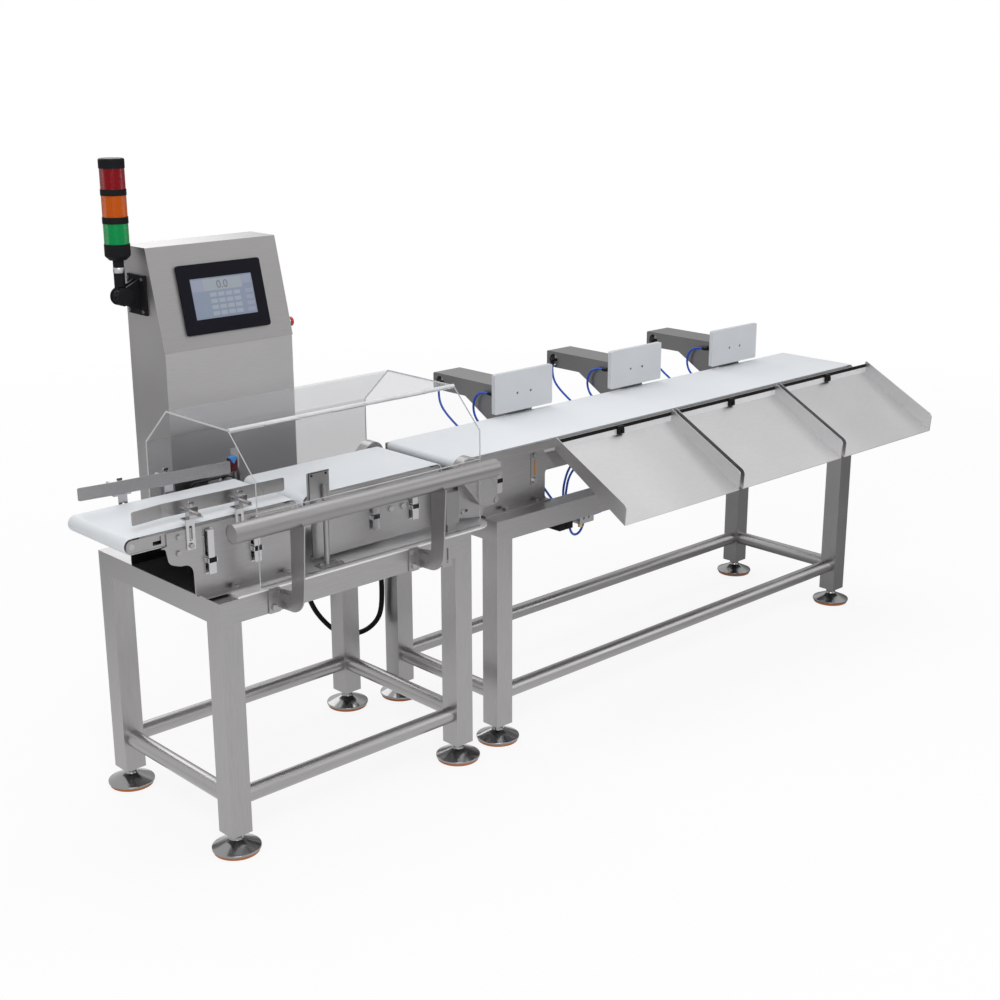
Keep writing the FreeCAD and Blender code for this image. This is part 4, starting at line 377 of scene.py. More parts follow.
# %% Plastics, rubber and paint
belt_white = finish("belt_white", (0.73, 0.755, 0.785), 0.52, 0.0, grain(1400.0), 0.015, 0.00008, 2.0, 0.05)
paddle_white = finish("paddle_white", (0.60, 0.62, 0.65), 0.48, 0.0, grain(500.0), 0.02, 0.00006, 8.0)
plastic_black = finish("plastic_black", (0.016, 0.016, 0.018), 0.36, 0.0, grain(900.0), 0.25, 0.0002, 25.0,
                       dust=0.04, Specular_IOR_Level=0.05)
plastic_grey = finish("plastic_grey", (0.35, 0.35, 0.36), 0.45, 0.0, grain(900.0), 0.06, 0.0001, 25.0)
rubber_black = finish("rubber_black", (0.012, 0.012, 0.013), 0.55, 0.0, grain(1500.0), 0.3, 0.0002, 25.0,
                      dust=0.08, Specular_IOR_Level=0.1)
tray_black = finish("tray_black", (0.014, 0.014, 0.015), 0.42, 0.0, grain(400.0), 0.2, 0.00015, 10.0,
                    dust=0.06, Specular_IOR_Level=0.1)
pad_orange = finish("pad_orange", (0.55, 0.17, 0.04), 0.55, 0.0, grain(700.0), 0.1, 0.0002, 30.0)
hose_blue = finish("hose_blue", (0.008, 0.085, 0.56), 0.32, 0.0, grain(1500.0), 0.08, 0.00003, 30.0,
                   Coat_Weight=0.08, Specular_IOR_Level=0.25)
bezel_black = finish("bezel_black", (0.010, 0.010, 0.015), 0.45, 0.0, grain(1600.0), 0.15, 0.00005, 12.0,
                     Specular_IOR_Level=0.05)
button_red = finish("button_red", (0.52, 0.015, 0.015), 0.28, 0.0, grain(500.0), 0.08, 0.00003, 40.0)
sensor_dark = finish("sensor_dark_red", (0.07, 0.008, 0.010), 0.30, 0.0, grain(700.0), 0.08, 0.00005, 60.0,
                     Specular_IOR_Level=0.2)
sensor_blue = finish("sensor_blue", (0.03, 0.22, 0.60), 0.35, 0.0, grain(700.0), 0.08, 0.00005, 60.0)
strip_amber = finish("strip_amber", (0.45, 0.19, 0.035), 0.30, 0.0, grain(700.0), 0.1, 0.00005, 60.0)
print("materials so far:", len(bpy.data.materials))

# %% [markdown]
# The cover is clear acrylic sheet, 4 mm thick. A sheet that thin hardly bends the light, so it is
# made see-through with Alpha, which also keeps its shadow light. Looked at from a slant it shows
# more of its own pale surface, and its sawn edges are nearly white. The lenses of the signal tower
# are dyed plastic with a little painted glow, painted light that keeps their colour.

# %% Clear and coloured plastic


def clear(name, colour, rough, weight=1.0, glow=0.0, gloss=0.5):
    """A see-through material with soft smudges in its roughness and a little light of its own: the
    display's real light, and painted light on the lenses.
    """
    material, tree, shader = new_material(name)
    shader.inputs["Transmission Weight"].default_value = weight
    shader.inputs["IOR"].default_value = 1.45
    shader.inputs["Specular IOR Level"].default_value = gloss
    patches = place_effect(tree, PATCHES, Scale=6.0, Seed=3.0).outputs[0]
    tree.links.new(shades(tree, patches, scaled(colour, 0.97), colour), shader.inputs["Base Color"])
    tree.links.new(ranged(tree, patches, rough, rough * 2.0, 0.0, 1.0), shader.inputs["Roughness"])
    if glow:
        shader.inputs["Emission Strength"].default_value = glow
        drift = shades(tree, patches, scaled(colour, 0.8), colour)
        tree.links.new(drift, shader.inputs["Emission Color"])
    return material


def sheet(name, colour, rough, face_on, edge_on):
    """Thin clear sheet: its Alpha rises from face_on, looking straight through, to edge_on at a slant."""
    material = finish(name, colour, rough, 0.0, None, 0.02, 0.0, 3.0, 0.01)
    tree = material.node_tree
    slant = add(tree, "LayerWeight", Blend=0.5)
    tree.links.new(ranged(tree, slant.outputs["Facing"], face_on, edge_on, 0.5, 0.85),
                   tree.nodes["Principled BSDF"].inputs["Alpha"])
    return material


acrylic = sheet("acrylic_clear", (0.50, 0.51, 0.535), 0.06, 0.03, 0.34)
# The rear wall of the cover: a greyer, less clear copy of the sheet, painted shade.
acrylic_back_painted_shade = sheet("acrylic_back_painted_shade", (0.33, 0.335, 0.355), 0.08, 0.33, 0.42)
acrylic_edge = finish("acrylic_sawn_edge", (0.66, 0.67, 0.68), 0.3, 0.0, None, 0.02, 0.0, 20.0, 0.02)
# The lenses' small glow is painted light: it only keeps their colour.
lens_red = clear("lens_red_plastic", (0.19, 0.002, 0.006), 0.14, weight=0.08, glow=0.12, gloss=0.1)
lens_amber = clear("lens_amber_plastic", (0.44, 0.075, 0.002), 0.14, weight=0.08, glow=0.12, gloss=0.1)
lens_green = clear("lens_green_plastic", (0.0, 0.23, 0.058), 0.14, weight=0.08, glow=0.12, gloss=0.1)
print("clear sheet:", acrylic.name)

# %% [markdown]
# The display is lit. Its picture is generic: a header, a reading with plain digits and a block of
# keys. The tiles are thin raised plates, so the same picture is there from every side, and each
# shade is its own emissive finish, with a faint drift so that no tile is one flat colour.

# %% Display finishes


def lit(name, colour, strength):
    """A smooth surface that shines with its own colour, a little darker towards soft patches."""
    return clear(name, colour, 0.12, weight=0.0, glow=strength, gloss=0.3)


display_ground = lit("display_ground", (0.17, 0.20, 0.26), 0.35)
display_header = lit("display_header", (0.22, 0.24, 0.27), 0.4)
display_key = lit("display_key", (0.22, 0.25, 0.29), 0.4)
display_side = lit("display_side_tile", (0.20, 0.22, 0.28), 0.4)
display_ink = lit("display_ink", (0.15, 0.155, 0.17), 0.1)
led_green = lit("led_green", (0.1, 0.8, 0.45), 1.0)
print("display finishes ready")

# %% [markdown]
# A CAD node whose shape is right stays as it is, and its material slot gets the new finish. One
# table says which finish each of these nodes gets.

# %% Finishes for single-finish nodes
NODE_FINISH = (
    (steel_x, "top_frames lower_rails infeed_bed weigh_bed sorting_bed guide_rail_front guide_rail_rear"),
    (steel_y, "cabinet_stand"),
    (steel_z, "stand_legs"),
    (steel_bright, "infeed_latch_levers weigh_latch_levers sorting_latch_lever rail_brackets"),
    # The guard tube gets the darker copy of the steel, painted shade.
    (steel_painted_shade, "guard_tube"),
    (steel_deck, "deck_plate"),
    (steel_arm, "pusher_arms"),
    (steel_cabinet, "cabinet_door"),
    (aluminium, "infeed_nose_roller infeed_drive_roller weigh_nose_roller weigh_drive_roller"),
    (aluminium, "sorting_drive_roller sorting_tail_roller load_cell"),
    (belt_white, "infeed_belt weigh_belt sorting_belt"),
    (plastic_black, "tower_housings"),
    (tray_black, "base_tray"),
    (pad_orange, "foot_pads"),
    (bezel_black, "hmi_panel"),
    (button_red, "stop_button"),
    (lens_green, "lens_green"),
    (lens_amber, "lens_amber"),
    (lens_red, "lens_red"),
)


def put_finish(piece, *materials):
    """The piece's material slots hold these materials, in this order."""
    piece.data.materials.clear()
    for material in materials:
        piece.data.materials.append(material)
    return piece


for material, names in NODE_FINISH:
    for node in names.split():
        put_finish(nodes[node], material)
print("nodes with one finish:", sum(len(names.split()) for material, names in NODE_FINISH))

# %% [markdown]
# Some nodes hold solids of different stuff, such as a steel bracket with a black foot. Those are
# copied: their loose triangles are merged, each separate solid is found by following shared
# corners, and a new mesh is made of whole arrays, which is quick.

# %% Points, faces and solids of a mesh
WELD = 0.00002


def read_all(items, title, kind, width=1):
    """One property of all these items of a mesh, as an array with a row for each item."""
    found = np.zeros(len(items) * width, kind)
    items.foreach_get(title, found)
    return found.reshape(-1, width) if width > 1 else found


def mesh_object(name, points, faces, uv=None, smooth=True):
    """A new object whose mesh has these frame points (n, 3) and faces; uv gives each point its (u, v)."""
    mesh = bpy.data.meshes.new(name)
    faces = faces.tolist() if isinstance(faces, np.ndarray) else faces
    mesh.from_pydata(np.asarray(points, float).tolist(), [], faces)
    if uv is not None:
        layer = mesh.uv_layers.new(name="UVMap")
        corners = read_all(mesh.loops, "vertex_index", np.int32)
        layer.data.foreach_set("uv", np.asarray(uv, np.float32)[corners].ravel())
    mesh.polygons.foreach_set("use_smooth", np.full(len(mesh.polygons), smooth))
    mesh.update()
    piece = bpy.data.objects.new(name, mesh)
    bpy.context.scene.collection.objects.link(piece)
    return piece


def solid_labels(count, faces):
    """A label for each point: the lowest point number that it is joined to. Labels spread along the faces
    until nothing changes."""
    label = np.arange(count)
    while True:
        lowest = label[faces].min(1)
        spread = label.copy()
        for k in range(3):
            np.minimum.at(spread, faces[:, k], lowest)
        spread = spread[spread]
        if (spread == label).all():
            return label
        label = spread


def face_middles(points, faces):
    """Each triangle's middle and its unit normal: the cross product of two edges over its length."""
    a, b, c = (points[faces[:, k]] for k in range(3))
    normal = np.cross(b - a, c - a)
    return (a + b + c) / 3, normal / np.maximum(np.linalg.norm(normal, axis=1, keepdims=True), 1e-9)


print("labels of two loose triangles:", solid_labels(6, np.array([[0, 1, 2], [3, 4, 5]])))

# %% [markdown]
# The copy itself. A rule for each node says which finish a solid gets, from its lowest and highest
# corner, and a second rule may repaint single faces, such as the sawn edges of a clear sheet. The
# copy keeps the shading normals of the CAD, because smoothing it anew would make flat sheet look
# dented beside a small bend. It then stands for the node. The feet come first: the threaded studs
# stand higher than the pressed discs.

# %% Copies with a finish for each solid
DISC_TOP = 40.0


def dressed(node, materials, choose, repaint=None):
    """A merged copy of a CAD node. choose gets each solid's lowest and highest corner in drawing mm and
    returns the number of its material in materials. repaint may then change the numbers of single faces,
    by their middles and normals."""
    source = nodes[node].data
    source.calc_loop_triangles()
    points = read_all(source.vertices, "co", np.float32, 3)
    corners = read_all(source.loop_triangles, "vertices", np.int32, 3)
    loops = read_all(source.loop_triangles, "loops", np.int32, 3)
    owner = read_all(source.loop_triangles, "polygon_index", np.int32)
    normals = read_all(source.corner_normals, "vector", np.float32, 3)
    curved = read_all(source.polygons, "use_smooth", bool)
    cells = np.round(points / WELD).astype(np.int64)
    first, merged = np.unique(cells, axis=0, return_index=True, return_inverse=True)[1:]
    faces = merged.ravel()[corners]
    kept = (faces[:, 0] != faces[:, 1]) & (faces[:, 1] != faces[:, 2]) & (faces[:, 2] != faces[:, 0])
    faces = faces[kept]
    points = points[first].astype(float)
    label = solid_labels(len(points), faces)
    drawing = points / MM + DRAWING_ZERO
    index = np.zeros(len(faces), np.int32)
    for solid in np.unique(label):
        own = drawing[label == solid]
        index[label[faces[:, 0]] == solid] = choose(own.min(0), own.max(0))
    if repaint:
        index = repaint(index, *face_middles(drawing, faces)).astype(np.int32)
    piece = mesh_object(node + "_finished", points, faces)
    put_finish(piece, *materials)
    piece.data.polygons.foreach_set("material_index", index)
    piece.data.polygons.foreach_set("use_smooth", curved[owner][kept])
    piece.data.normals_split_custom_set(normals[loops[kept].ravel()])
    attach(piece, nodes[node]["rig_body"])
    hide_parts(node)
    return piece


feet = dressed("levelling_feet", [steel_foot, zinc], lambda low, high: int(high[2] > DISC_TOP))
print("feet:", len(feet.data.polygons), "faces in", len(feet.data.materials), "finishes")

# %% [markdown]
# A solid is recognised by its place or its size. A motor is deeper than its belt and its guard, the
# terminal box lies behind the front brackets, and of the control gear the controller is widest.

# %% Drives, brackets and control gear
GUARD_DEPTH = (25.0, 45.0)
GUARD_TALL = 60.0
TERMINAL_BOX = (600.0, 665.0, 18.0)
CONTROLLER_WIDE = 100.0
COLLAR_WIDE = (4.0, 6.0)


def size_x(low, high):
    """How wide a solid is along X."""
    return high[0] - low[0]


def drive_part(low, high):
    """A motor is deep and dark, a guard is tall and silver, and what is left is the rubber belt."""
    depth, tall = high[1] - low[1], high[2] - low[2]
    if GUARD_DEPTH[0] < depth < GUARD_DEPTH[1] and tall > GUARD_TALL:
        return 1
    return 2 if depth > GUARD_DEPTH[1] else 0


def gear_part(low, high):
    """The controller is wide and grey, the button's collar thin and bright, and the rest is black."""
    if size_x(low, high) > CONTROLLER_WIDE:
        return 1
    return 2 if COLLAR_WIDE[0] < size_x(low, high) < COLLAR_WIDE[1] else 0


dressed("drives", [rubber_black, steel_x, steel_dark], drive_part)
# The terminal box behind the front brackets gets the darker copy of the steel, painted shade.
dressed("guard_brackets", [steel_z, steel_painted_shade],
        lambda low, high: int(TERMINAL_BOX[0] < low[0] < TERMINAL_BOX[1] and low[1] > TERMINAL_BOX[2]))
dressed("control_gear", [plastic_black, plastic_grey, steel_bright], gear_part)
print("drives, brackets and control gear are dressed")

# %% [markdown]
# The clear cover is sawn sheet. Its cut ends are frosted and nearly white, and the hinge's knuckles
# are too. Light from the room makes its rear wall look greyer than the rest, and that shade is
# painted into a finish of its own for that wall. Faces are told apart by the way they look and by
# where they are.

# %% Cover
HINGE = (103.0, 883.0)
KNUCKLE_REACH = 5.5
FLAP_LOW = 730.0
REAR_WALL = 400.0
PIN_THICK = 3.5
CLEAR_SHEET = [acrylic, steel_bright, acrylic_edge, acrylic_back_painted_shade]


def first_finish(low, high):
    """Every solid of the node gets the first finish."""
    return 0


def sawn_edges(index, middle, normal):
    """The ends of each sheet, the cut along the bottom of the flap and the hinge's knuckles are edges. The
    back wall gets a greyer sheet, painted shade."""
    knuckle = np.hypot(middle[:, 1] - HINGE[0], middle[:, 2] - HINGE[1]) < KNUCKLE_REACH
    flap_cut = (np.abs(normal[:, 2]) > 0.95) & (middle[:, 2] < FLAP_LOW)
    cut = (np.abs(normal[:, 0]) > 0.9) | flap_cut | knuckle
    wall = (np.abs(normal[:, 1]) > 0.9) & (middle[:, 1] > REAR_WALL)
    return np.where(index != 0, index, np.where(cut, 2, np.where(wall, 3, 0)))


dressed("cover_panels", CLEAR_SHEET, lambda low, high: int(high[1] - low[1] < PIN_THICK),
        sawn_edges)
dressed("cover_flap", CLEAR_SHEET, first_finish, sawn_edges)
print("cover is dressed round the hinge at", HINGE)

# %% [markdown]
# The chutes are satin sheet. The front of each lip is painted black, a painted shadow for the dark
# gap between the belt's edge and the chute, and their upright flanges are a little darker, painted
# shade. The side plates of the conveyors carry bright latches and pins, the screws are zinc with
# black wing knobs, and the valves have their own plastic, aluminium and brass.

# %% Chutes, side plates, screws and valves
LIP_LOW = 690.0
LATCH_SIZE = (25.0, 12.0)
KNOB_WIDE = (21.0, 23.0)
KNOB_PLACE = (52.0, 700.0)
VALVE_PLATE_WIDE = 100.0
MANIFOLD_PLACE = (1070.0, 40.0)
FITTING_TOP = 489.0


def chute_faces(index, middle, normal):
    """The lip's front is painted black, a painted shadow, and the turned-up flanges get painted shade."""
    # The lip's black front is a painted shadow, and the flanges' darker sheet is painted shade.
    lip = (np.abs(normal[:, 1]) > 0.9) & (middle[:, 2] > LIP_LOW)
    return np.where(lip, 1, np.where(np.abs(normal[:, 0]) > 0.9, 2, index))


def latch_part(low, high):
    """A latch's catch, base and strap are narrow and taller than a bolt."""
    return int(size_x(low, high) < LATCH_SIZE[0] and high[2] - low[2] > LATCH_SIZE[1])


def knob_part(low, high):
    """The wing knobs are of one width, in front of the belts and above the deck."""
    in_front = high[1] < KNOB_PLACE[0] and low[2] > KNOB_PLACE[1]
    return int(KNOB_WIDE[0] < size_x(low, high) < KNOB_WIDE[1] and in_front)


def valve_part(low, high):
    """The plate is the widest, the manifold lies at its right end, and the fittings hang lowest."""
    if size_x(low, high) > VALVE_PLATE_WIDE:
        return 3
    if low[0] > MANIFOLD_PLACE[0] and size_x(low, high) > MANIFOLD_PLACE[1]:
        return 1
    return 2 if high[2] < FITTING_TOP else 0


dressed("chutes", [steel_satin, rubber_black, steel_flange_painted_shade], first_finish, chute_faces)
for line in ("infeed", "weigh", "sorting"):
    dressed(line + "_side_plates", [steel_x, steel_bright], latch_part)
dressed("fasteners", [zinc, rubber_black], knob_part)
dressed("valve_block", [plastic_black, aluminium, brass, steel_satin], valve_part)
print("chutes, side plates, screws and valves are dressed")

# %% [markdown]
# The photo eye is a dark red block with a blue top on a steel bracket, and its reflector a grey
# prism on a post. The cabinet is one folded sheet, but its slanted face has painted shade and its
# upright front painted light, which stand for the parts of the room that each of them mirrors.

# %% Photo eye, cabinet, tower and pushers
PRISM_LOW = 700.0
EYE_LOW = 600.0
EYE_CAP = 754.0
CYLINDER_WIDE = 40.0
PADDLE_DEEP = 100.0


def eye_faces(index, middle, normal):
    """The top of the eye is blue."""
    return np.where((index == 0) & (middle[:, 2] > EYE_CAP), 2, index)


def cabinet_faces(index, middle, normal):
    """The slanted face carries the display and gets painted shade, and the upright front below it gets
    painted light, so it is the brightest sheet.
    """
    slanted = (normal[:, 1] < -0.5) & (normal[:, 2] > 0.1)
    return np.where(slanted, 1, np.where(normal[:, 1] < -0.95, 2, index))


dressed("reflector", [steel_z, plastic_grey], lambda low, high: int(low[2] > PRISM_LOW))
dressed("photo_eye", [sensor_dark, steel_z, sensor_blue],
        lambda low, high: int(low[2] < EYE_LOW), eye_faces)
dressed("cabinet_body", [steel_cabinet, steel_face_painted_shade, steel_front_painted_light], first_finish, cabinet_faces)
dressed("tower_mount", [plastic_black], first_finish)
dressed("tower_pole", [plastic_black], first_finish)
dressed("pusher_cylinders", [aluminium, plastic_black],
        lambda low, high: int(size_x(low, high) < CYLINDER_WIDE))
for number in (1, 2, 3):
    dressed("paddle_%d" % number, [paddle_white, aluminium],
            lambda low, high: int(high[1] - low[1] > PADDLE_DEEP))
print("all mixed nodes are dressed")

# %% [markdown]
# The hoses and the cable are free cords, and their routes come first. Each route is a row of
# corners in the drawing. A hose leaves its cylinder in a small loop, falls below the bed, runs
# along the stand and ends on the valves. The cable hangs in a long bend below the cabinet.

# %% Routes of the cords
HOSE = 6.0
CABLE = 13.0
PUSHER_X = (1125.0, 1556.5, 1988.0)
ARM_HALF = 46.0
FRONT_LOOP = ((355, 770), (379, 770), (400, 758), (412, 737), (412, 713), (400, 692), (379, 680),
              (352, 676), (308, 668), (262, 650))
REAR_LOOP = ((553, 752), (553, 728), (544, 706), (527, 690), (503, 674), (467, 654), (424, 636), (372, 624),
             (318, 618), (270, 610))
HOSE_ENDS = (
    (
        [(1068, 218, 618), (1074, 180, 576), (1081, 142, 534), (1086, 108, 505), (1086, 82, 505)],
        [(1074, 226, 590), (1079, 184, 550), (1083, 146, 514), (1086, 110, 493), (1086, 82, 493)],
    ),
    (
        [(1486, 226, 632), (1440, 214, 621), (1360, 209, 611), (1280, 206, 604), (1200, 190, 588),
         (1144, 158, 552), (1116, 132, 522), (1104, 108, 505), (1104, 82, 505)],
        [(1484, 236, 600), (1436, 226, 592), (1356, 222, 588), (1276, 218, 580), (1204, 196, 560),
         (1154, 160, 524), (1124, 132, 502), (1104, 110, 493), (1104, 82, 493)],
    ),
    (
        [(1916, 228, 634), (1868, 210, 622), (1780, 200, 614), (1690, 196, 612), (1600, 194, 614),
         (1510, 192, 618), (1430, 188, 612), (1360, 168, 584), (1300, 132, 544), (1240, 92, 510),
         (1204, 58, 501), (1166, 46, 500), (1134, 46, 500)],
        [(1914, 238, 602), (1864, 226, 594), (1776, 214, 590), (1686, 208, 590), (1596, 208, 588),
         (1506, 204, 594), (1426, 200, 588), (1356, 182, 562), (1298, 148, 528), (1240, 108, 504),
         (1204, 76, 499), (1166, 60, 500), (1134, 60, 500)],
    ),
)
CABLE_ROUTE = (
    (514.0, 521.0, 559.0), (514.0, 521.0, 500.0), (530.0, 524.0, 438.0), (558.0, 527.0, 380.0),
    (590.0, 527.0, 320.0), (612.0, 524.0, 252.0), (647.6, 511.3, 200.0), (670.3, 494.3, 180.2),
    (697.5, 473.8, 174.2), (724.2, 453.7, 183.1), (745.4, 437.8, 205.4), (757.0, 429.0, 236.7),
    (757.0, 424.0, 298.0), (753.0, 424.0, 360.0), (748.0, 430.0, 422.0), (746.0, 440.0, 482.0),
    (750.0, 450.0, 540.0), (768.0, 436.0, 606.0), (798.0, 404.0, 648.0), (832.0, 378.0, 662.0),
    (860.0, 352.0, 658.0), (876.0, 316.0, 650.0), (876.0, 273.0, 650.0),
)

print("hoses:", 2 * len(PUSHER_X), "and a loop")

# %% [markdown]
# Each cord is one smooth spline whose control points are the corners of its route, so the tube and
# the spline lie together. A spline of order 3 cuts inside each corner, as a real hose does. The
# hoses are 6 mm polyurethane, and the cable is 13 mm thick and stiff.

# %% Cords


def cord(name, route, diameter, material, body="machine"):
    """A tube round one NURBS spline: its control points are the route's, order 3, from end to end."""
    curve = bpy.data.curves.new(name, "CURVE")
    curve.dimensions = "3D"
    curve.resolution_u = 12
    curve.bevel_depth = diameter / 2 * MM
    curve.bevel_resolution = 4
    curve.use_fill_caps = True
    spline = curve.splines.new("NURBS")
    spline.points.add(len(route) - 1)
    place = np.hstack([at(route), np.ones((len(route), 1))])
    spline.points.foreach_set("co", place.astype(np.float32).ravel())
    spline.order_u = 3
    spline.use_endpoint_u = True
    piece = bpy.data.objects.new(name, curve)
    bpy.context.scene.collection.objects.link(piece)
    curve.materials.append(material)
    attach(piece, body)
    return piece


LOOP_DIRECTION = (0.978, 0.207)
loop_route = [(1056 + a * LOOP_DIRECTION[0], 50 + a * LOOP_DIRECTION[1], z) for a, z in (
    (0.0, 498.0), (0.0, 479.9), (9.0, 464.2), (24.7, 455.2), (42.7, 455.2), (58.4, 464.2), (67.4, 479.9))]

for i, x in enumerate(PUSHER_X):
    for j, (label, start, out) in enumerate((("front", FRONT_LOOP, 12.0), ("rear", REAR_LOOP, 8.0))):
        route = [(x - ARM_HALF - out, y, z) for y, z in start] + HOSE_ENDS[i][j]
        hose = cord("air_hose_%d_%s" % (i + 1, label), route, HOSE, hose_blue)
        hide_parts("air_hoses_" + str(i + 1))
loop = cord("air_hose_loop", loop_route, HOSE, hose_blue)
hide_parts("air_hoses_1")
cable = cord("motor_cable", CABLE_ROUTE, CABLE, rubber_black)
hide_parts("power_cable")
print("cords made")

# %% [markdown]
# The next surfaces are all made in the same way: numpy fills a grid of points, row by row, and the
# faces join each point to its neighbours. A grid may be open, or closed in one or both directions.
# Writing whole arrays is quick, and the shape stays readable as a formula.

# %% Grid surfaces


def grid_faces(rows, columns, close_rows=False, close_columns=False):
    """Quads of a grid: the corner (i, j) joins (i+1, j), (i+1, j+1) and (i, j+1), counted round where
    closed."""
    i = np.arange(rows if close_rows else rows - 1)
    j = np.arange(columns if close_columns else columns - 1)
    i, j = np.meshgrid(i, j, indexing="ij")
    i2, j2 = (i + 1) % rows, (j + 1) % columns
    quads = np.stack([i * columns + j, i * columns + j2, i2 * columns + j2, i2 * columns + j], -1)
    return quads.reshape(-1, 4)


print("a 4 by 3 grid has", len(grid_faces(4, 3)), "quads")

# %% [markdown]
# A belt is a closed loop with a rounded section. The path is two straight runs and two half
# circles, and the section is a flat rounded strip. Each point of the surface is the path point plus
# the section's height along the path's outward normal, at the section's place across the belt.

# %% Belts
BELT_TOP = 722.0
BELT_THICK = 2.0


def belt_surface(x0, x1, radius, y0, width, nose_steps=28, run_steps=24):
    """Path: along the top from roller x0 to roller x1, half a circle, back below, half a circle.
    Section: a strip BELT_THICK high with rounded edges. UV is the distance along and across, in metres."""
    inner = radius - BELT_THICK
    z = BELT_TOP - radius
    t = np.linspace(0, 1, run_steps, endpoint=False)
    a = np.linspace(0, math.pi, nose_steps, endpoint=False)
    top = np.stack([x0 + (x1 - x0) * t, z + 0 * t, 0 * t, 1 + 0 * t], -1)
    end = np.stack([x1 + 0 * a, z + 0 * a, np.sin(a), np.cos(a)], -1)
    low = np.stack([x1 + (x0 - x1) * t, z + 0 * t, 0 * t, -1 + 0 * t], -1)
    start = np.stack([x0 + 0 * a, z + 0 * a, -np.sin(a), -np.cos(a)], -1)
    path = np.vstack([top, end, low, start])
    edge = BELT_THICK / 2
    b = np.linspace(-math.pi / 2, math.pi / 2, 7)
    across = np.concatenate([width - edge + edge * np.cos(b), (edge - edge * np.cos(b))])
    height = np.concatenate([edge + edge * np.sin(b), edge - edge * np.sin(b)])
    reach = inner + height
    points = np.stack([
        path[:, None, 0] + path[:, None, 2] * reach,
        y0 + across + 0 * path[:, None, 0],
        path[:, None, 1] + path[:, None, 3] * reach,
    ], -1)
    steps = np.diff(path[:, [0, 1]], axis=0, prepend=path[-1:, [0, 1]])
    turn = np.zeros(len(path))
    turn[run_steps:run_steps + nose_steps] = radius * math.pi / nose_steps
    turn[2 * run_steps + nose_steps:] = radius * math.pi / nose_steps
    along = np.cumsum(np.hypot(steps[:, 0], steps[:, 1]) + turn)
    uv = np.stack([along[:, None] * MM + 0 * across, across * MM + 0 * along[:, None]], -1)
    faces = grid_faces(len(path), len(across), True, True)
    return at(points.reshape(-1, 3)), faces, uv.reshape(-1, 2)


BELTS = {
    "infeed_belt": (-150.0, 230.0, 17.0, 64.0, 216.0),
    "weigh_belt": (275.0, 633.0, 17.0, 64.0, 216.0),
    "sorting_belt": (694.5, 2245.5, 12.5, 53.0, 245.0),
}
for node, (x0, x1, radius, y0, width) in BELTS.items():
    lo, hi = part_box(node)
    print(node, "CAD box", [round(v, 4) for v in (*lo, *hi)])
    points, faces, uv = belt_surface(x0, x1, radius, y0, width)
    piece = mesh_object(node + "_surface", points, faces, uv)
    put_finish(piece, belt_white)
    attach(piece, "machine")
    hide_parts(node)

# %% [markdown]
# The lenses of the tower are ribbed inside and out, so that the lamp shows as bright stripes. A
# profile with small waves, turned round the tower's axis, gives the ribs. The profile goes up the
# outside and down the inside, so the wall is a closed solid.

# %% Tower lenses
TOWER = (138.0, 540.0)
LENS_RADIUS = 27.0
LENS_WALL = 2.6
RIB = 0.35
RIB_PITCH = 3.0


def lens_surface(low, high, steps=72):
    """Outside radius = LENS_RADIUS - RIB (1 - cos(2 pi h / RIB_PITCH)) / 2; the inside is smooth."""
    h = np.linspace(low, high, int((high - low) / RIB_PITCH * 6) + 1)
    outer = LENS_RADIUS - RIB * (1 - np.cos(2 * math.pi * (h - low) / RIB_PITCH)) / 2
    inner = np.full(2, LENS_RADIUS - LENS_WALL)
    r = np.concatenate([outer, inner])
    z = np.concatenate([h, [high, low]])
    a = np.linspace(0, 2 * math.pi, steps, endpoint=False)
    way = np.stack([np.cos(a), np.sin(a)])[:, :, None]
    x, y = np.array(TOWER)[:, None, None] + way * r
    points = np.stack([x, y, z + 0 * x], -1)
    return at(points.reshape(-1, 3)), grid_faces(steps, len(r), True, True)


LENSES = (
    ("lens_green", 1218, 1262, lens_green),
    ("lens_amber", 1276, 1322, lens_amber),
    ("lens_red", 1335, 1379, lens_red),
)
for node, low, high, material in LENSES:
    piece = mesh_object(node + "_ribbed", *lens_surface(low, high))
    put_finish(piece, material)
    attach(piece, nodes[node]["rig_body"])
    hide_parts(node)
print("lenses turned")

# %% [markdown]
# Small hardware shows more than its size would suggest: each paddle is held by two screws with
# round heads, and the pole of the tower has a bare silver collar. All of them are profiles turned
# round an axis.

# %% Turned profiles


def joined(parts):
    """Several (points, faces) pairs as one: the faces of each part count on from the points before it."""
    points = np.vstack([p for p, f in parts])
    starts = np.cumsum([0] + [len(p) for p, f in parts[:-1]])
    faces = [[corner + int(s) for corner in face] for (p, f), s in zip(parts, starts) for face in f]
    return points, faces


def turned(profile, centre, axis="z", steps=48):
    """A profile turned round an axis: point = centre + r (cos a, sin a) across the axis + h along it.
    The profile is (r, h) pairs in mm from its lower pole to its upper one, both with r = 0."""
    r, h = np.asarray(profile, float).T
    a = np.linspace(0, 2 * math.pi, steps, endpoint=False)
    ring = np.stack([r[1:-1, None] * np.cos(a), r[1:-1, None] * np.sin(a), h[1:-1, None] + 0 * a], -1)
    points = np.vstack([ring.reshape(-1, 3), [[0, 0, h[0]], [0, 0, h[-1]]]])
    order = {"z": (0, 1, 2), "x": (2, 0, 1), "y": (1, 2, 0)}[axis]
    points = points[:, order] + np.asarray(centre, float)
    count = len(r) - 2
    faces = grid_faces(count, steps, close_columns=True).tolist()
    j = np.arange(steps)
    k = (j + 1) % steps
    last = (count - 1) * steps
    faces += np.stack([k, j, 0 * j + count * steps], -1).tolist()
    faces += np.stack([last + j, last + k, 0 * j + count * steps + 1], -1).tolist()
    return at(points), faces


print("a plain disc has", len(turned([(0, 0), (1, 0), (0, 0)], (0, 0, 0))[1]), "triangles")

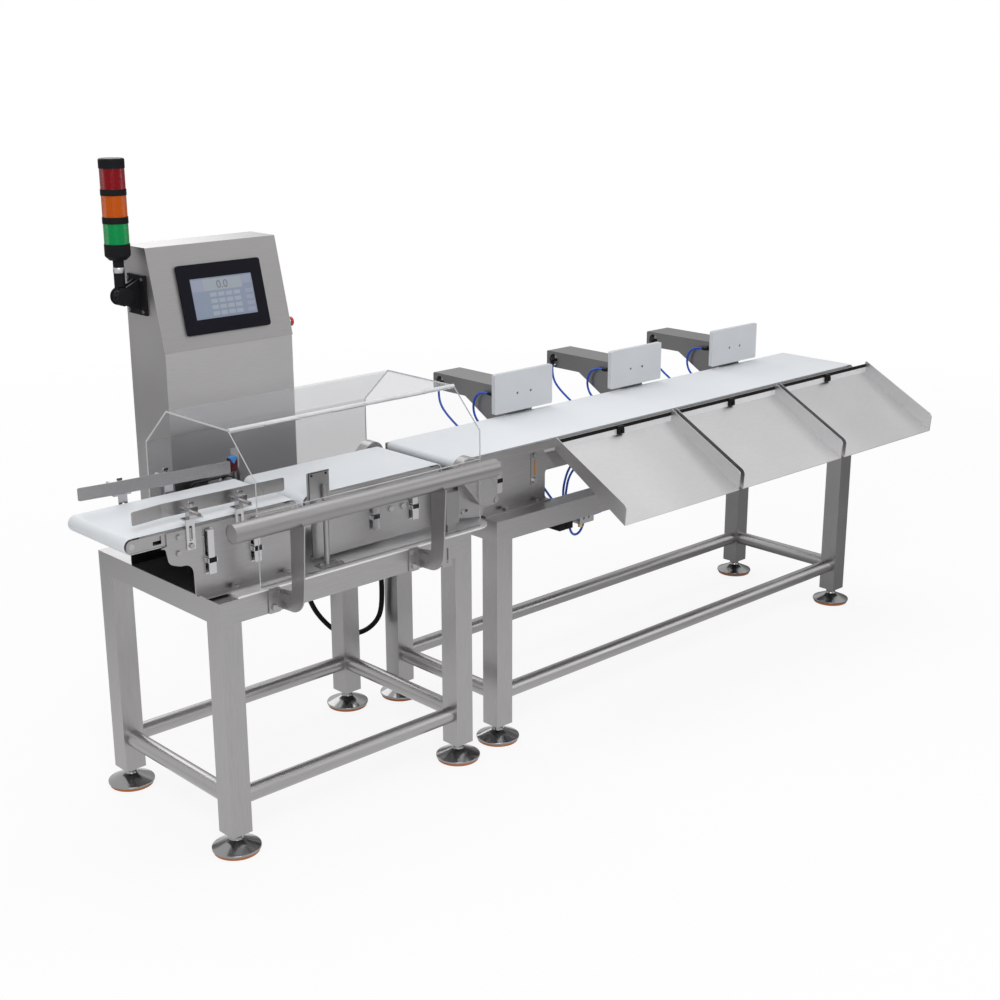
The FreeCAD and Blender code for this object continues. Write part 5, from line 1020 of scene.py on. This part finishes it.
# %% [markdown]
# The profiles are in mm, out from the axis and along it. The heads face forwards, so theirs is
# turned round Y, at the front of each paddle, and put a hair proud of it.

# %% Screws and collar
SCREW_PITCH = 47.5
SCREW_Z = 778.0
SCREW_HEAD = [(0.0, -1.5), (1.6, -1.3), (2.9, -0.7), (3.6, 0.4), (3.6, 2.5), (0.0, 2.5)]
COLLAR = [(0.0, 1155.0), (12.3, 1155.0), (12.6, 1155.4), (12.6, 1166.6), (12.3, 1167.0), (0.0, 1167.0)]

for i, x in enumerate(PUSHER_X):
    low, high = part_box("paddle_%d" % (i + 1))
    front = low[1] / MM + DRAWING_ZERO[1]
    heads = [turned(SCREW_HEAD, (x + side * SCREW_PITCH / 2, front, SCREW_Z), "y")
             for side in (-1, 1)]
    piece = mesh_object("paddle_screws_%d" % (i + 1), *joined(heads))
    piece.data.set_sharp_from_angle(angle=math.radians(40.0))
    put_finish(piece, steel_dark)
    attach(piece, nodes["paddle_%d" % (i + 1)]["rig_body"])
collar = mesh_object("tower_pole_collar", *turned(COLLAR, (*TOWER, 0.0)))
collar.data.set_sharp_from_angle(angle=math.radians(40.0))
put_finish(collar, aluminium)
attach(collar, nodes["tower_pole"]["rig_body"])
print("paddle screws:", 2 * len(PUSHER_X))

# %% [markdown]
# Some details are thin strips on a larger sheet: the folded edge under the painted black front of
# each chute's lip, painted brighter as painted light that matches the chute's lit floor, with its
# little clip, the dark grip of each toggle latch, the back of the reflector and the amber marker
# plate. One function lays such bricks, given by two opposite corners.

# %% Strips, clips and grips
CORNERS = np.array([(i, j, k) for i in (0, 1) for j in (0, 1) for k in (0, 1)], float)
BRICK_FACES = [[0, 1, 3, 2], [4, 6, 7, 5], [0, 4, 5, 1], [2, 3, 7, 6], [0, 2, 6, 4], [1, 5, 7, 3]]


def bricks(name, boxes, material, body="machine"):
    """Square-edged blocks as one piece: each corner is low + (high - low) times 0 or 1 for x, y and z."""
    parts = []
    for low, high in boxes:
        low, high = np.array(low, float), np.array(high, float)
        parts.append((at(low + (high - low) * CORNERS), BRICK_FACES))
    piece = mesh_object(name, *joined(parts), smooth=False)
    put_finish(piece, material)
    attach(piece, body)
    return piece


CHUTE_X = (1001.0, 1446.0, 1891.0)
CHUTE_WIDTH = 430.0
CLIP_OFFSET = 229.0
# The edge strips are painted brighter than their steel: painted light that matches the chute's lit floor.
bricks("chute_edge_strips_painted_light", [((x + 2, 47.0, 690), (x + CHUTE_WIDTH - 2, 47.9, 704.5)) for x in CHUTE_X],
       steel_edge_painted_light)
bricks("chute_clips", [((x + CLIP_OFFSET + a, 40.0, 692), (x + CLIP_OFFSET + b, 46.8, 704))
                       for x in CHUTE_X for a, b in ((-11, -3), (3, 11))], rubber_black)
LATCHES = {"infeed_latch_levers": ((12.5, 29.5, 46.7, 55.3), (122.5, 139.5, 46.7, 55.3)),
           "weigh_latch_levers": ((434.5, 451.5, 46.7, 55.3), (547.5, 564.5, 46.7, 55.3)),
           "sorting_latch_lever": ((825.5, 842.5, 66.7, 75.3),)}
for node, places in LATCHES.items():
    bricks(node + "_grips",
           [((x0 - 0.3, y0 - 0.3, 637), (x1 + 0.3, y1 + 0.3, 646.6)) for x0, x1, y0, y1 in places],
           plastic_black, nodes[node]["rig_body"])
bricks("marker_strip", [((957.0, 75.2, 630), (963.0, 75.9, 667))], strip_amber)
OUTLINE = (39.3, 40.1)
BARS = ((258.0, 718, 260.0, 777), (258.0, 775, 312.0, 777), (264.0, 768, 269.0, 773),
        (301.0, 768, 306.0, 773))
bricks("reflector_outline",
       [((x0, OUTLINE[0], z0), (x1, OUTLINE[1], z1)) for x0, z0, x1, z1 in BARS],
       plastic_black)
print("grips:", sum(len(places) for places in LATCHES.values()))

# %% [markdown]
# The display lies in the slanted face of the cabinet. A thin plate with rounded corners is the unit
# of its picture. It is laid out flat, in mm from the middle of the glass, and tilted into place by
# one formula.

# %% Plates on the slanted face
SCREEN_MIDDLE = np.array((356.0, 472.62, 1086.0))
TILT = math.atan2(57.0, 225.0)
GLASS_OUT = 7.3


def on_face(u, v, out):
    """A place on the slanted face: u to the right, v up the slope, out along its normal."""
    u, v, out = np.broadcast_arrays(*[np.asarray(k, float) for k in (u, v, out)])
    y = v * math.sin(TILT) - out * math.cos(TILT)
    z = v * math.cos(TILT) + out * math.sin(TILT)
    return np.stack([u, y, z], -1) + SCREEN_MIDDLE


def tile(u0, u1, v0, v1, low, high, corner=1.0, steps=5):
    """A flat plate with rounded corners: corner k of its rectangle is a quarter circle."""
    a = np.linspace(0, math.pi / 2, steps)
    centres = ((u1 - corner, v1 - corner), (u0 + corner, v1 - corner), (u0 + corner, v0 + corner),
               (u1 - corner, v0 + corner))
    quarters = [a + k * math.pi / 2 for k in range(4)]
    edge = np.vstack([np.stack([u + corner * np.cos(q), v + corner * np.sin(q)], -1)
                      for (u, v), q in zip(centres, quarters)])
    n = len(edge)
    points = np.vstack([on_face(edge[:, 0], edge[:, 1], low), on_face(edge[:, 0], edge[:, 1], high)])
    i = np.arange(n)
    k = (i + 1) % n
    rims = [list(range(n, 2 * n)), list(range(n - 1, -1, -1))]
    return at(points), np.stack([i, k, k + n, i + n], -1).tolist() + rims


def tiles(name, boxes, material, corner=1.0):
    """Many plates as one piece that rides on the machine."""
    piece = mesh_object(name, *joined([tile(*box, corner=corner) for box in boxes]), smooth=False)
    put_finish(piece, material)
    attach(piece, "machine")
    return piece


print("display tilt:", round(math.degrees(TILT), 1), "degrees")

# %% [markdown]
# The picture is a ground, a header, two small tiles, two blocks of keys and a lamp beside the
# glass. Each group of plates is one piece with one shade. The plates lie a few tenths of a
# millimetre above each other, so that none of them flickers through its neighbour.

# %% Picture of the display
KEY = (17.0, 9.0)
KEY_ROW_V = (-40.0, -26.0, -12.0, 2.0)
TILE_OUT = (GLASS_OUT + 0.2, GLASS_OUT + 0.4)
KEYS = [(u, u + KEY[0], v, v + KEY[1], *TILE_OUT) for v in KEY_ROW_V for u in (-36.0, -15.0, 6.0, 27.0)]
SIDE_TILES = [(-80.0, -52.0, 16.0, 42.0, *TILE_OUT), (54.0, 78.0, 24.0, 42.0, *TILE_OUT)]
SIDE_TILES += [(58.0, 78.0, v, v + KEY[1], *TILE_OUT) for v in KEY_ROW_V]
tiles("display_ground_plate", [(-81.5, 81.5, -45.5, 45.5, GLASS_OUT, GLASS_OUT + 0.1)], display_ground)
tiles("display_header_plate", [(-51.0, 53.0, 16.0, 42.0, GLASS_OUT + 0.2, GLASS_OUT + 0.3)],
      display_header)
tiles("display_keys", KEYS, display_key)
tiles("display_side_tiles", SIDE_TILES, display_side)
tiles("display_lamp", [(99.5, 102.5, 4.2, 6.2, GLASS_OUT - 1.0, GLASS_OUT + 0.2)], led_green)
print("keys:", len(KEYS), "and side tiles:", len(SIDE_TILES))

# %% [markdown]
# The reading is plain digits. A text curve gives their outline, is made a mesh while it lies flat,
# and its points are then put on the slope, so the piece itself stays unturned.

# %% Reading
DIGITS_OUT = GLASS_OUT + 0.55


def digits(name, text, u, v, height, material):
    """Plain digits on the face: a flat point (x, y, z) goes to u + x along, v + y up and z further out."""
    curve = bpy.data.curves.new(name, "FONT")
    curve.body = text
    curve.size = height
    curve.align_x = "CENTER"
    curve.extrude = 0.05
    holder = bpy.data.objects.new(name, curve)
    mesh = bpy.data.meshes.new_from_object(holder)
    bpy.data.objects.remove(holder)
    flat = read_all(mesh.vertices, "co", np.float32, 3).astype(float)
    sloped = at(on_face(flat[:, 0] + u, flat[:, 1] + v, DIGITS_OUT + flat[:, 2]))
    mesh.vertices.foreach_set("co", sloped.astype(np.float32).ravel())
    piece = bpy.data.objects.new(name, mesh)
    bpy.context.scene.collection.objects.link(piece)
    put_finish(piece, material)
    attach(piece, "machine")
    return piece


digits("display_reading", "0.0", 0.0, 20.0, 25.0, display_ink)
print("digits stand", DIGITS_OUT, "mm out")

# %% [markdown]
# The floor is a plain pale sheet without a visible edge. To the camera, and in mirrors and glass,
# it is nearly white, and a part of its colour still comes from the light that falls on it, so the
# machine keeps a soft shadow. In mirrors it grows darker towards two sides, as a studio floor does
# away from the lamps, and that gives the steel its dark flanks.

# %% Floor
FLOOR_SIZE = 60.0
FLOOR_GLOW = 0.86
FADE = (1.8, 5.0)
FLOOR_DARK_SIDES = (((0.9, 0.35, 0.0), 0.1, 1.0, 0.75), ((0.6, 0.8, 0.0), -0.3, 1.0, 0.8))


def floor_sheet(size, rings=6, steps=48):
    """A round sheet at height 0: rings of points at even steps of radius round the origin."""
    r = np.linspace(0.02, size, rings)
    a = np.linspace(0, 2 * math.pi, steps, endpoint=False)
    points = np.stack([r[:, None] * np.cos(a), r[:, None] * np.sin(a), 0 * a + 0 * r[:, None]], -1)
    faces = grid_faces(rings, steps, close_columns=True)[:, ::-1].tolist() + [list(range(steps))]
    return points.reshape(-1, 3), faces


def any_ray(tree, path, *titles):
    """1 where the ray is any of these kinds: the largest of the Light Path outputs."""
    value = path.outputs[titles[0]]
    for title in titles[1:]:
        value = maths(tree, "MAXIMUM", value, path.outputs[title])
    return value


def along(tree, source, way):
    """How far source lies along the vector way: their dot product."""
    node = add(tree, "VectorMath", operation="DOT_PRODUCT")
    node.inputs[1].default_value = way
    tree.links.new(source, node.inputs[0])
    return node.outputs["Value"]


def floor_finish():
    """Pale paint mixed with its own glow. Glow strength in mirrors = 1 - the darker of the two dark
    sides. The glow's share is FLOOR_GLOW near the machine and rises to 1 over the distances of FADE."""
    material, tree, shader = new_material("studio_white")
    shader.inputs["Roughness"].default_value = 0.9
    shader.inputs["Specular IOR Level"].default_value = 0.0
    patches = place_effect(tree, PATCHES, Scale=0.6).outputs[0]
    paint = shades(tree, patches, (0.93, 0.93, 0.93), (0.95, 0.95, 0.95))
    tree.links.new(paint, shader.inputs["Base Color"])
    path = add(tree, "LightPath")
    place = add(tree, "TexCoord").outputs["Object"]
    sides = [ranged(tree, along(tree, place, side), 0.0, depth, near, far)
             for side, near, far, depth in FLOOR_DARK_SIDES]
    darker = maths(tree, "MULTIPLY", path.outputs["Is Glossy Ray"], maths(tree, "MAXIMUM", *sides))
    glow = add(tree, "Emission")
    tree.links.new(maths(tree, "SUBTRACT", 1.0, darker), glow.inputs["Strength"])
    distance = add(tree, "VectorMath", operation="LENGTH")
    tree.links.new(place, distance.inputs[0])
    seen = any_ray(tree, path, "Is Camera Ray", "Is Transmission Ray", "Is Glossy Ray")
    share = maths(tree, "MULTIPLY", seen, ranged(tree, distance.outputs["Value"], FLOOR_GLOW, 1.0, *FADE))
    mixed = add(tree, "MixShader")
    for socket, source in zip(mixed.inputs, (share, shader.outputs[0], glow.outputs[0])):
        tree.links.new(source, socket)
    tree.links.new(mixed.outputs[0], tree.nodes["Material Output"].inputs["Surface"])
    return material


floor = mesh_object("studio_floor", *floor_sheet(FLOOR_SIZE), smooth=False)
put_finish(floor, floor_finish())
print("floor:", FLOOR_SIZE * 2, "m across")

# %% [markdown]
# The world is white where the camera sees it and a plain pale grey where it lights the scene. In
# mirrors it is white too, but falls to a dark level on the right-hand side and below, so the round
# tubes and the folded sheets show where they turn.

# %% World
WORLD_LIGHT = 0.5
DARK_SIDE = (0.9, 0.1, -0.35)
DARK_LEVEL = 0.2
DARK_FADE = (0.45, 0.8)


def light_world():
    """Strength = the largest of: 1 for rays that see it, WORLD_LIGHT for diffuse rays, DARK_LEVEL, and
    for mirrors the brightness of the side they look at."""
    world = bpy.data.worlds.new("studio")
    world.use_nodes = True
    tree = world.node_tree
    background = tree.nodes["Background"]
    background.inputs["Color"].default_value = (1.0, 1.0, 1.0, 1.0)
    path = add(tree, "LightPath")
    toward = along(tree, add(tree, "TexCoord").outputs["Generated"], DARK_SIDE)
    mirror = ranged(tree, toward, 1.0, DARK_LEVEL, *DARK_FADE)
    strength = maths(tree, "MULTIPLY", mirror, path.outputs["Is Glossy Ray"])
    plain = ranged(tree, path.outputs["Is Diffuse Ray"], 0.0, WORLD_LIGHT, 0.0, 1.0)
    for other in (DARK_LEVEL, plain, any_ray(tree, path, "Is Camera Ray", "Is Transmission Ray")):
        strength = maths(tree, "MAXIMUM", strength, other)
    tree.links.new(strength, background.inputs["Strength"])
    return world


bpy.context.scene.world = light_world()
print("world light:", WORLD_LIGHT)

# %% [markdown]
# Four large softboxes light the machine: a strong one from the front left, a weak one from the
# front right, one above, and one behind that draws a bright line along the edges.

# %% Softboxes


def softbox(name, place, aim, size, power):
    """A square area lamp at place, turned so that its -Z looks at aim."""
    lamp = bpy.data.lights.new(name, "AREA")
    lamp.size = size
    lamp.energy = power
    box = bpy.data.objects.new(name, lamp)
    away = np.asarray(place, float) - np.asarray(aim, float)
    box.location = place
    box.rotation_mode = "QUATERNION"
    box.rotation_quaternion = Vector(away).to_track_quat("Z", "Y")
    bpy.context.scene.collection.objects.link(box)
    return box


SOFTBOXES = {
    "key_light": ((-3.0, -3.5, 4.0), (0.0, 0.0, 0.6), 2.6, 115.0),
    "fill_light": ((3.5, -3.0, 2.6), (0.2, 0.0, 0.6), 2.4, 22.0),
    "top_light": ((0.3, 0.4, 4.2), (0.2, 0.0, 0.6), 3.0, 45.0),
    "back_light": ((0.5, 4.0, 3.0), (0.0, 0.0, 0.7), 2.4, 32.0),
}
for name, (place, aim, size, power) in SOFTBOXES.items():
    softbox(name, place, aim, size, power)
print("softboxes:", len(SOFTBOXES))
